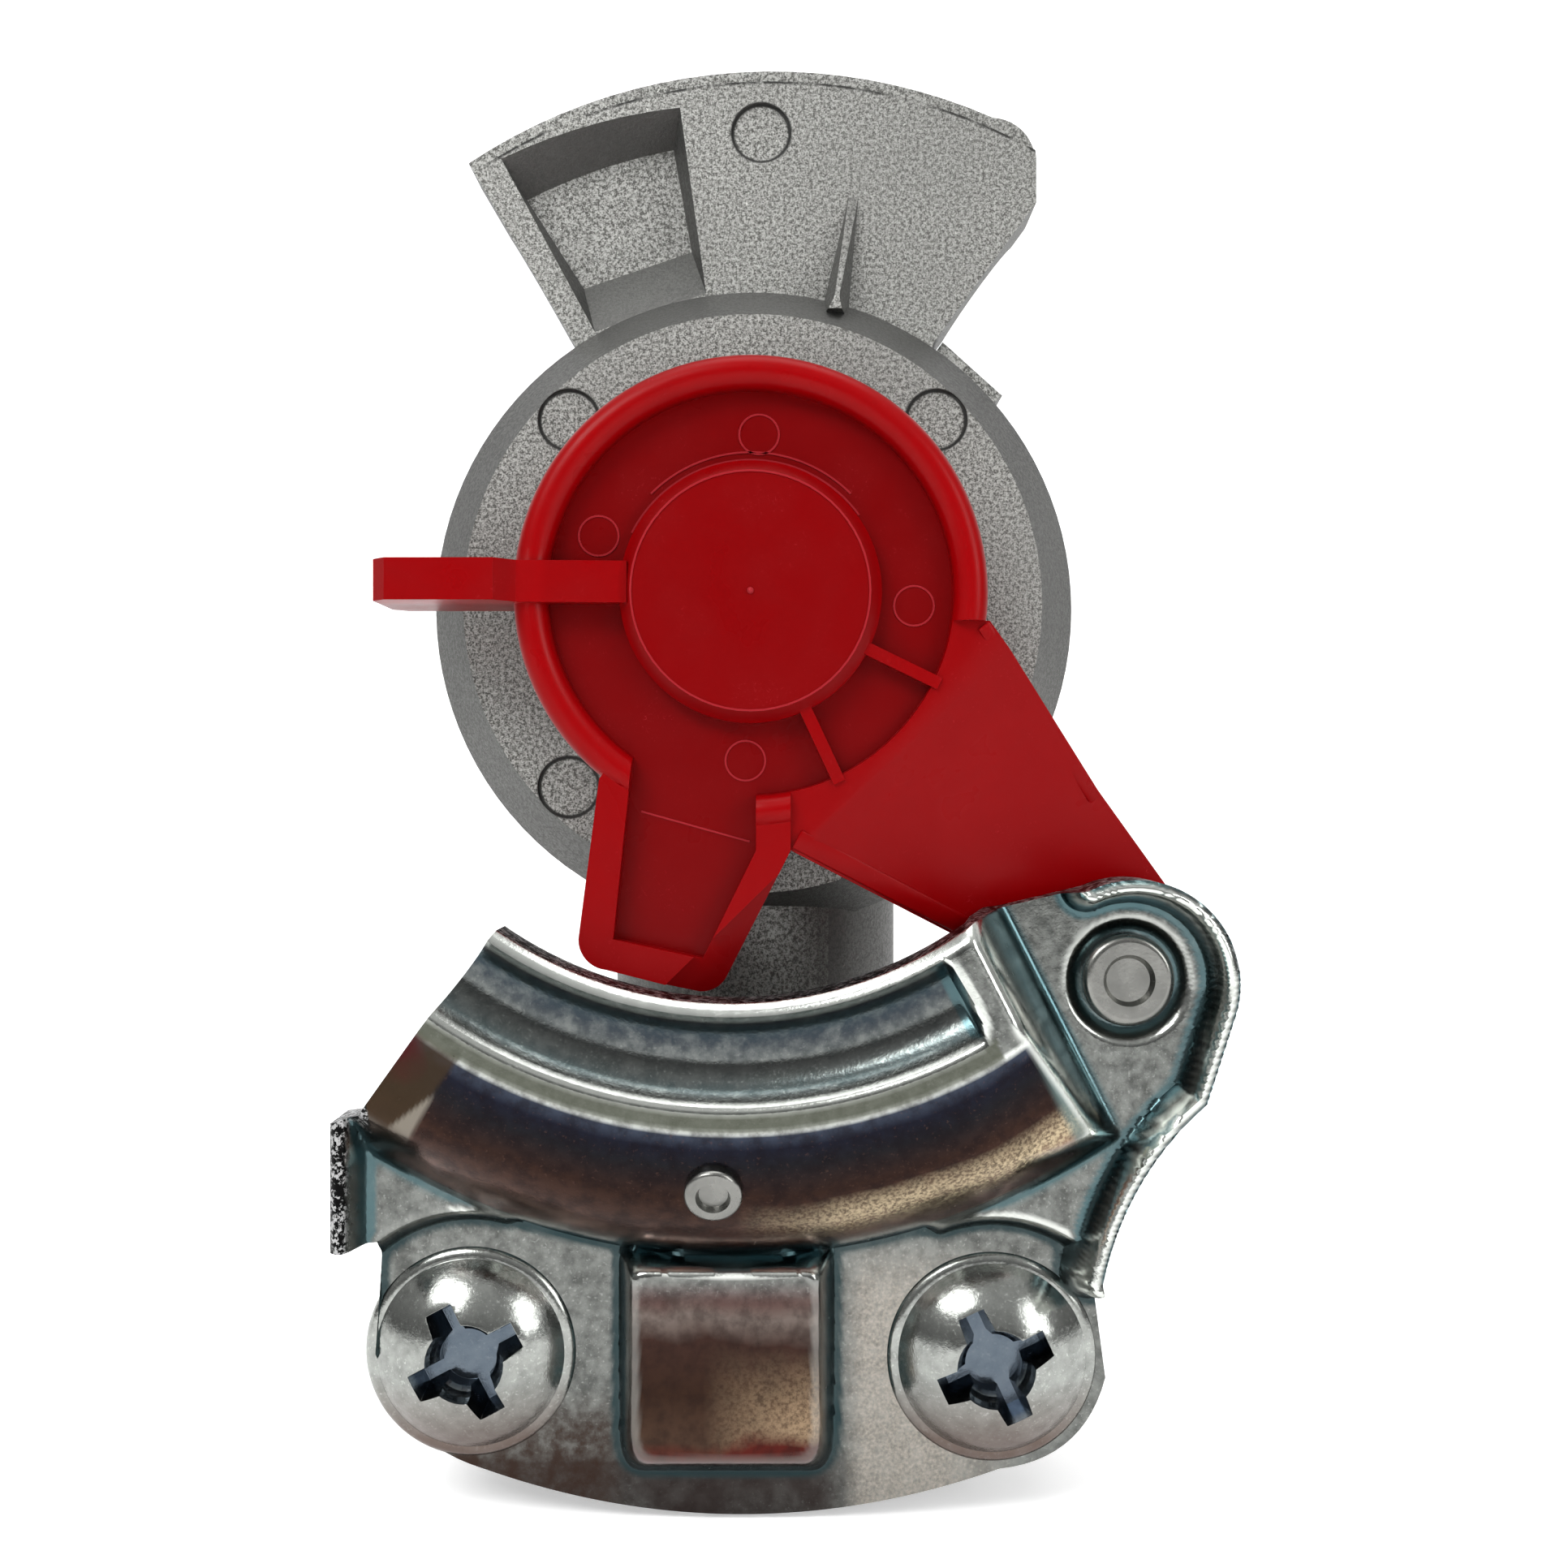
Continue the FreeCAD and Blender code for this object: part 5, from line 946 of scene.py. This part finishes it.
def painted_box_reflections(recipe, noises):
    """Paint reflections on the embossed box: red at its top and foot, brown between, random dark spots, and a
    sandy highlight low at the right.
    """
    cloud, mottle, fine = noises
    up = recipe.fade("Z", BOX_TOP - BOX_HEIGHT, BOX_TOP - 0.8 * MM)
    up = recipe.plus(up, recipe.ramp(cloud, 0.3, 0.7, -0.06, 0.06))
    # Painted sandy highlight low at the right of the box
    sand_highlight = recipe.times(recipe.fade("X", -3.5 * MM, 3.5 * MM), recipe.ramp(up, 0.62, 0.2),
                        recipe.ramp(up, 0.04, 0.12), recipe.ramp(fine, 0.36, 0.6, 0.35, 1.0))
    return recipe.layered(recipe.band(up, BOX_REFLECTION_BANDS),
                          (recipe.ramp(mottle, 0.42, 0.64, 0.0, 0.45), BOX_SPOT), (sand_highlight, BOX_HIGHLIGHT))


def seat_tones_and_highlight(recipe, noises, base):
    """Colour the flats round the screws: brown along the foot and at the left, and a painted sandy highlight
    at the right.
    """
    cloud, mottle, fine = noises
    foot = recipe.times(recipe.fade("Z", -63.4 * MM, -64.6 * MM), recipe.fade("X", 9 * MM, 5 * MM),
                        recipe.ramp(cloud, 0.35, 0.6, 0.6, 0.9))
    # Painted sandy highlight at the right, kept out of the hollows
    right = recipe.times(recipe.fade("Z", -48 * MM, -52 * MM), recipe.fade("X", 6.8 * MM, 8.4 * MM),
                         recipe.fade("X", 20 * MM, 14 * MM), recipe.ramp(recipe.mark("hollow"), 0.5, 0.1),
                         recipe.ramp(fine, 0.3, 0.65, 0.25, 0.8))
    left = recipe.times(recipe.fade("Z", -59 * MM, -62 * MM), recipe.fade("X", -9.5 * MM, -11 * MM),
                        recipe.ramp(mottle, 0.35, 0.6, 0.45, 0.85))
    return recipe.layered(base, (foot, FOOT_BROWN), (right, SEAT_HIGHLIGHT), (left, SEAT_BROWN))


def channel_tints_and_reflection(recipe, noises, base):
    """Paint a dark reflection into the trough, and colour the strip beside it and the wall that ends them."""
    clouded = recipe.ramp(noises[1], 0.35, 0.6, 0.55, 0.95)
    return recipe.layered(base, *(
        (recipe.times(recipe.mark(name), share), tone)
        for name, share, tone in (("trough", clouded, TROUGH_DARK_REFLECTION), ("strip", 0.8, STRIP_GREEN),
                                  ("wall", 0.7, WALL_GREEN))))


def pooled_film_and_shade(recipe, noises, tint, base):
    """Let the blue film pool in the hollows, paler on the raised parts; painted shade darkens it almost to
    black in the low ones.
    """
    # Painted shade: in the low hollows the tint falls to 12 percent
    pooled_and_shaded = recipe.mixed(recipe.fade("Y", -5.2 * MM, -3.6 * MM), tint, rubbed(tint, 0.12))
    hollow = recipe.times(recipe.mark("hollow"), recipe.ramp(noises[0], 0.3, 0.7, 0.75, 1.0))
    return recipe.mixed(hollow, base, pooled_and_shaded)


def fastener_material(finishes):
    """Bright zinc on the screws, with a painted straw reflection below the middle of the head and painted
    blue shade deep in the cross recess.
    """
    material, recipe, shader = new_material("plated_fastener")
    base, matt, height = zinc_peel(recipe, zinc_noises(recipe), rubbed(tuple(finishes.zinc), 1.9), 0.9)
    # Painted reflection: straw brown over the lower half of each head
    low = recipe.fade("Z", LEFT_SCREW.z - 1.5 * MM, LEFT_SCREW.z - 6.5 * MM, 0.0, 0.75)
    inside = recipe.figure("MAXIMUM", *(recipe.disc((screw.x, screw.z), RECESS_RADIUS)
                                        for screw in (LEFT_SCREW, RIGHT_SCREW)))
    # Painted shade: dark blue deep in the cross recesses
    deep = recipe.times(inside, recipe.fade("Y", RECESS_MOUTH, RECESS_MOUTH + 0.8 * MM), 0.8)
    base = recipe.layered(base, (low, rubbed(tuple(finishes.zinc_straw_reflection), 3.0)), (deep, RECESS_SHADE))
    finish_zinc(recipe, shader, base, matt, height)
    return material


# Casting, plastic, rubber and turned metal

FAN_CENTRE = (1.5 * MM, -0.7 * MM)
FAN_LEDGE = 42.95 * MM
CAST_LINE = 0.22 * MM
CAST_MARK_RADIUS = 2.3 * MM
CAST_MARKS = ((0.6 * MM, 38.2 * MM), (14.14 * MM, 14.14 * MM), (-14.14 * MM, 14.14 * MM),
              (-14.14 * MM, -14.14 * MM), (14.14 * MM, -14.14 * MM))
RED_BLOOM = (0.42, 0.03, 0.04)
RUBBER_DUST = (0.06, 0.058, 0.055)
RIVET_ZINC = (0.24, 0.24, 0.225)
SPRING_STEEL = (0.34, 0.34, 0.35)
PLUG_ZINC = (0.30, 0.30, 0.28)


def cast_material(finishes):
    """Die-cast aluminium: speckled faces, smoother drafted walls darkened by painted shade, and dark moulding
    lines.
    """
    material, recipe, shader = new_material("cast_aluminium")
    specks, height = recipe.grain(3400, 7600)
    cast = tuple(finishes.cast)
    spark = recipe.ramp(recipe.noise(2300, 2, 0.7), 0.7, 0.76, 0.0, 0.8)
    base = recipe.mixed(specks, tuple(finishes.cast_pit), rubbed(cast, 1.5))
    base = recipe.mixed(spark, base, rubbed(cast, 2.6))
    facing = recipe.split(recipe.nodes.new("ShaderNodeNewGeometry").outputs["True Normal"])["Y"]
    # Painted shade: faces turned away from the front and back get a darker, smoother colour
    wall = recipe.mixed(recipe.ramp(specks, 0.0, 1.0, 0.0, 0.35), rubbed(cast, 0.28), rubbed(cast, 0.5))
    base = recipe.mixed(recipe.ramp(recipe.figure("ABSOLUTE", facing), 0.84, 1.0), wall, base)

    chips = recipe.ramp(recipe.noise(500, 3, 0.7), 0.4, 0.55)
    lines = recipe.times(recipe.ring(FAN_CENTRE, FAN_LEDGE, CAST_LINE), chips)
    for middle in CAST_MARKS:
        lines = recipe.figure("MAXIMUM", lines, recipe.ring(middle, CAST_MARK_RADIUS, CAST_LINE))
    base = recipe.layered(base, (recipe.ramp(recipe.noise(70, 3), 0.3, 0.7, 0.0, 0.3), rubbed(cast, 0.6)),
                          (recipe.times(lines, recipe.ramp(facing, -0.3, -0.6)), rubbed(cast, 0.12)))
    finish_shader(recipe, shader, base, recipe.ramp(specks, 0.0, 1.0, 0.62, 0.42))
    shader.inputs["Metallic"].default_value = 0.75
    recipe.bump(height, 0.05 * MM, shader, 0.6)
    return material


def plastic_material(finishes, name="red_plastic", scuffed=0.0):
    """Moulded red plastic: painted shade deepens it where it lies low and a painted highlight brightens the
    rim, with a paler bloom and fine scratches.
    """
    material, recipe, shader = new_material(name)
    bloom = recipe.noise(230, 3, 0.5, 0.3)
    scratch = recipe.noise(1500, 6, 0.75, 3.0)
    out = recipe.distance_from((0, 0))
    red = tuple(finishes.cap_red)
    arm = recipe.times(recipe.ramp(out, 14.6 * MM, 15.0 * MM), recipe.fade("X", 2.6 * MM, 3.1 * MM))
    # Painted shade: deeper red where the cap lies low, apart from the arm
    low = recipe.times(recipe.fade("Y", -8.2 * MM, -7.2 * MM), recipe.figure("SUBTRACT", 1.0, arm))
    # Painted highlight: a paler band round the raised rim
    rim = recipe.times(recipe.ramp(out, 14.5 * MM, 15.3 * MM), recipe.ramp(out, 17.4 * MM, 16.6 * MM),
                       recipe.fade("Y", -8.0 * MM, -8.5 * MM))
    pale = recipe.times(recipe.ramp(bloom, 0.5, 0.66), recipe.ramp(scratch, 0.6, 0.68, 0.0, 0.55))
    base = recipe.layered(
        red,
        (recipe.ramp(out, 9.6 * MM, 9.2 * MM), rubbed(red, 0.8)),
        (low, rubbed(red, 0.66)),
        (rim, rubbed(red, 1.12)),
        (recipe.ramp(bloom, 0.35, 0.7, 0.0, 0.2), rubbed(red, 0.7)),
        (recipe.plus(pale, scuffed), RED_BLOOM))
    finish_shader(recipe, shader, base, recipe.ramp(bloom, 0.3, 0.75, 0.26, 0.4))
    shader.inputs["Specular IOR Level"].default_value = 0.09
    recipe.bump(scratch, 0.015 * MM, shader, 0.4)
    return material


def rubber_material(finishes):
    """Black moulded rubber with a dusty bloom."""
    material, recipe, shader = new_material("black_rubber")
    dust = recipe.noise(420, 4, 0.6)
    base = recipe.mixed(recipe.ramp(dust, 0.45, 0.8, 0.0, 0.6), tuple(finishes.rubber), RUBBER_DUST)
    finish_shader(recipe, shader, base, recipe.ramp(dust, 0.3, 0.7, 0.5, 0.75))
    recipe.bump(dust, 0.05 * MM, shader, 0.4)
    return material


def turned_metal(name, tone, low, high):
    """Turned or drawn metal with faint stains and a fine grain, its roughness between low and high."""
    material, recipe, shader = new_material(name)
    stain = recipe.noise(320, 4, 0.6)
    base = recipe.mixed(recipe.ramp(stain, 0.35, 0.75), tone, rubbed(tone, 0.66))
    finish_shader(recipe, shader, base, recipe.ramp(stain, 0.3, 0.7, low, high))
    shader.inputs["Metallic"].default_value = 1.0
    recipe.bump(recipe.noise(4200, 2, 0.5), 0.015 * MM, shader, 0.5)
    return material


def dress(piece, material):
    """Give a piece one material."""
    piece.data.materials.clear()
    piece.data.materials.append(material)


# Stage

FLOOR_GAP = 0.4 * MM
FLOOR_SIDE = 2.4
FLOOR_FRONT = 2.4
WALL_BEHIND = 0.55
WALL_HIGH = 1.6
SWEEP_BEND = 0.3
LAMP_AIM = Vector((0, 0, -0.015))
LAMPS = (("key", (-0.30, -0.40, 0.40), (0.34, 0.22), 2.6), ("fill", (0.42, -0.34, 0.16), (0.20, 0.30), 1.1),
         ("top", (0.0, -0.05, 0.55), (0.5, 0.35), 1.6))
SENSOR = 36


def build_backdrop(finishes, stage):
    """Sweep one pale sheet from the floor up behind the object."""
    floor = CAD_BOX[0][2] - FLOOR_GAP
    turn = WALL_BEHIND - SWEEP_BEND
    profile = [(-FLOOR_FRONT, floor), (turn, floor)]
    for angle in np.linspace(0, math.pi / 2, 13)[1:]:
        profile.append((turn + SWEEP_BEND * math.sin(angle), floor + SWEEP_BEND * (1 - math.cos(angle))))
    profile.append((WALL_BEHIND, floor + WALL_HIGH))
    shape = bmesh.new()
    line = [shape.verts.new((-FLOOR_SIDE, depth, height)) for depth, height in profile]
    edges = [shape.edges.new(pair) for pair in zip(line, line[1:])]
    drawn_out(shape, bmesh.ops.extrude_edge_only(shape, edges=edges), (2 * FLOOR_SIDE, 0, 0))
    sweep = mesh_object("backdrop", shape)
    shade_smoothly(sweep.data)
    dress(sweep, paper_material(finishes, stage))


def paper_material(finishes, stage):
    """Pale paper, which glows white for the camera and in reflections."""
    material, recipe, shader = new_material("backdrop_paper")
    paper = tuple(finishes.backdrop)
    fibre = recipe.ramp(recipe.noise(60, 2), 0.3, 0.7)
    recipe.feed(shader.inputs["Base Color"], recipe.mixed(fibre, paper, rubbed(paper, 0.985)))
    shader.inputs["Roughness"].default_value = 0.9
    shader.inputs["Specular IOR Level"].default_value = 0.1
    rays = recipe.nodes.new("ShaderNodeLightPath").outputs
    seen = recipe.plus(recipe.plus(rays["Is Camera Ray"], rays["Is Glossy Ray"]), rays["Is Transmission Ray"])
    shader.inputs["Emission Color"].default_value = (1, 1, 1, 1)
    recipe.feed(shader.inputs["Emission Strength"], recipe.times(seen, stage.paper_glow))
    return material


def area_lamp(name, place, size, power):
    """Hang a soft lamp that faces the object's middle."""
    lamp = bpy.data.lights.new(name, "AREA")
    lamp.shape = "RECTANGLE"
    lamp.size, lamp.size_y = size
    lamp.energy = power
    holder = bpy.data.objects.new(name, lamp)
    holder.location = place
    holder.rotation_euler = (LAMP_AIM - Vector(place)).to_track_quat("-Z", "Y").to_euler()
    bpy.context.scene.collection.objects.link(holder)


def build_light(stage):
    """Light the room evenly, and add soft lamps above and beside the camera."""
    world = bpy.data.worlds.new("room")
    world.use_nodes = True
    nodes = world.node_tree.nodes
    recipe = Recipe(world.node_tree, nodes.new("ShaderNodeTexCoord").outputs["Generated"])
    background = nodes["Background"]
    background.inputs["Color"].default_value = (1, 1, 1, 1)
    recipe.feed(background.inputs["Strength"], recipe.fade("Z", -0.15, 0.85, stage.room_low, stage.room))
    bpy.context.scene.world = world
    for name, place, size, power in LAMPS:
        area_lamp(name, place, size, power * stage.lamps)


def build_camera(stage):
    """Place the camera where the photograph was taken."""
    lens = bpy.data.cameras.new("camera")
    lens.lens = stage.lens
    lens.sensor_width = SENSOR
    lens.sensor_fit = "HORIZONTAL"
    lens.clip_start = 5 * MM
    camera = bpy.data.objects.new("camera", lens)
    camera.location = (stage.camera_side, -stage.camera_distance, -stage.camera_drop)
    camera.rotation_euler = (math.pi / 2, 0, 0)
    bpy.context.scene.collection.objects.link(camera)
    bpy.context.scene.camera = camera


# Operators

class COUPLING_OT_plate(bpy.types.Operator):
    """Press the zinc-plated guide plate over its form and trim it"""

    bl_idname = "coupling.plate"
    bl_label = "Guide Plate"

    def execute(self, context):
        scene = context.scene
        piece = build_plate(scene.coupling_plate)
        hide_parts("guide_plate")
        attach(piece, "head")
        dress(piece, sheet_material(scene.coupling_finishes))
        return {"FINISHED"}


class COUPLING_OT_casting(bpy.types.Operator):
    """Round the edges of the cast body and give it its sandy skin"""

    bl_idname = "coupling.casting"
    bl_label = "Cast Body"

    def execute(self, context):
        piece = soft_edged("body_casting", "casting_skin", 0.35 * MM)
        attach(piece, "head")
        dress(piece, cast_material(context.scene.coupling_finishes))
        return {"FINISHED"}


class COUPLING_OT_cap(bpy.types.Operator):
    """Round the edges of the dust cap and give it its red plastic"""

    bl_idname = "coupling.cap"
    bl_label = "Dust Cap"

    def execute(self, context):
        finishes = context.scene.coupling_finishes
        plastic = plastic_material(finishes)
        for piece in (soft_edged("dust_cap", "cap_skin", 0.28 * MM), cap_borders(), cap_marks()):
            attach(piece, "cap")
            dress(piece, plastic)
        dress(bpy.data.objects["cap_marks"], plastic_material(finishes, "scuffed_plastic", 0.5))
        return {"FINISHED"}


class COUPLING_OT_screws(bpy.types.Operator):
    """Round the edges of the two pan-head screws and plate them"""

    bl_idname = "coupling.screws"
    bl_label = "Screws"

    def execute(self, context):
        plating = fastener_material(context.scene.coupling_finishes)
        for node in ("screw_left", "screw_right"):
            piece = soft_edged(node, f"{node}_skin", 0.2 * MM, recess_bowl(node))
            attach(piece, "head")
            dress(piece, plating)
        return {"FINISHED"}


class COUPLING_OT_small_parts(bpy.types.Operator):
    """Finish the rivets, the seals, the valve with its spring, and the chamber plug"""

    bl_idname = "coupling.small_parts"
    bl_label = "Rivets, Seals and Valve"

    def execute(self, context):
        finishes = context.scene.coupling_finishes
        rivets = turned_metal("rivet_zinc", RIVET_ZINC, 0.2, 0.34)
        rubber = rubber_material(finishes)
        brass = turned_metal("valve_brass", tuple(finishes.brass), 0.2, 0.36)
        steel = turned_metal("spring_steel", SPRING_STEEL, 0.25, 0.4)
        plug = turned_metal("plug_zinc", PLUG_ZINC, 0.3, 0.46)
        finish_of = {
            "detent_rivet": rivets, "pivot_rivet": rivets, "pivot_washer": rivets, "sealing_ring": rubber,
            "valve_seal": rubber, "plug_o_ring": rubber, "valve_poppet": brass, "chamber_plug": plug,
        }
        for node, material in finish_of.items():
            dress(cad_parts[node], material)
        coil = wound_spring()
        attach(coil, "head")
        dress(coil, steel)
        return {"FINISHED"}


class COUPLING_OT_stage(bpy.types.Operator):
    """Set up the floor, the backdrop, the light and the camera"""

    bl_idname = "coupling.stage"
    bl_label = "Stage"

    def execute(self, context):
        stage = context.scene.coupling_stage
        build_backdrop(context.scene.coupling_finishes, stage)
        build_light(stage)
        build_camera(stage)
        return {"FINISHED"}


class COUPLING_PT_panel(bpy.types.Panel):
    """Sidebar panel with every step"""

    bl_idname = "COUPLING_PT_panel"
    bl_label = "Coupling Head"
    bl_space_type = "VIEW_3D"
    bl_region_type = "UI"
    bl_category = "Coupling"

    def draw(self, context):
        layout = self.layout
        for group in GROUPS:
            box = layout.box()
            settings = getattr(context.scene, group)
            for name in settings.bl_rna.properties.keys():
                if name not in ("rna_type", "name"):
                    box.prop(settings, name)
        for operator in OPERATORS:
            layout.operator(operator.bl_idname)


GROUPS = {
    "coupling_plate": CouplingPlateSizes,
    "coupling_finishes": CouplingFinishes,
    "coupling_stage": CouplingStage,
}
OPERATORS = (COUPLING_OT_casting, COUPLING_OT_plate, COUPLING_OT_screws, COUPLING_OT_cap,
             COUPLING_OT_small_parts, COUPLING_OT_stage)


def register():
    """Add the classes and the scene's settings."""
    for kind in (*GROUPS.values(), *OPERATORS, COUPLING_PT_panel):
        bpy.utils.register_class(kind)
    for name, kind in GROUPS.items():
        setattr(bpy.types.Scene, name, bpy.props.PointerProperty(type=kind))


def unregister():
    """Take the classes and the scene's settings away."""
    for name in GROUPS:
        delattr(bpy.types.Scene, name)
    for kind in (COUPLING_PT_panel, *reversed(OPERATORS), *reversed(GROUPS.values())):
        bpy.utils.unregister_class(kind)


def main():
    """Build every piece and the stage."""
    register()
    for name in ("casting", "plate", "screws", "cap", "small_parts", "stage"):
        getattr(bpy.ops.coupling, name)()
    view = bpy.context.scene.view_settings
    view.view_transform = "Standard"


if __name__ == "__main__":
    main()
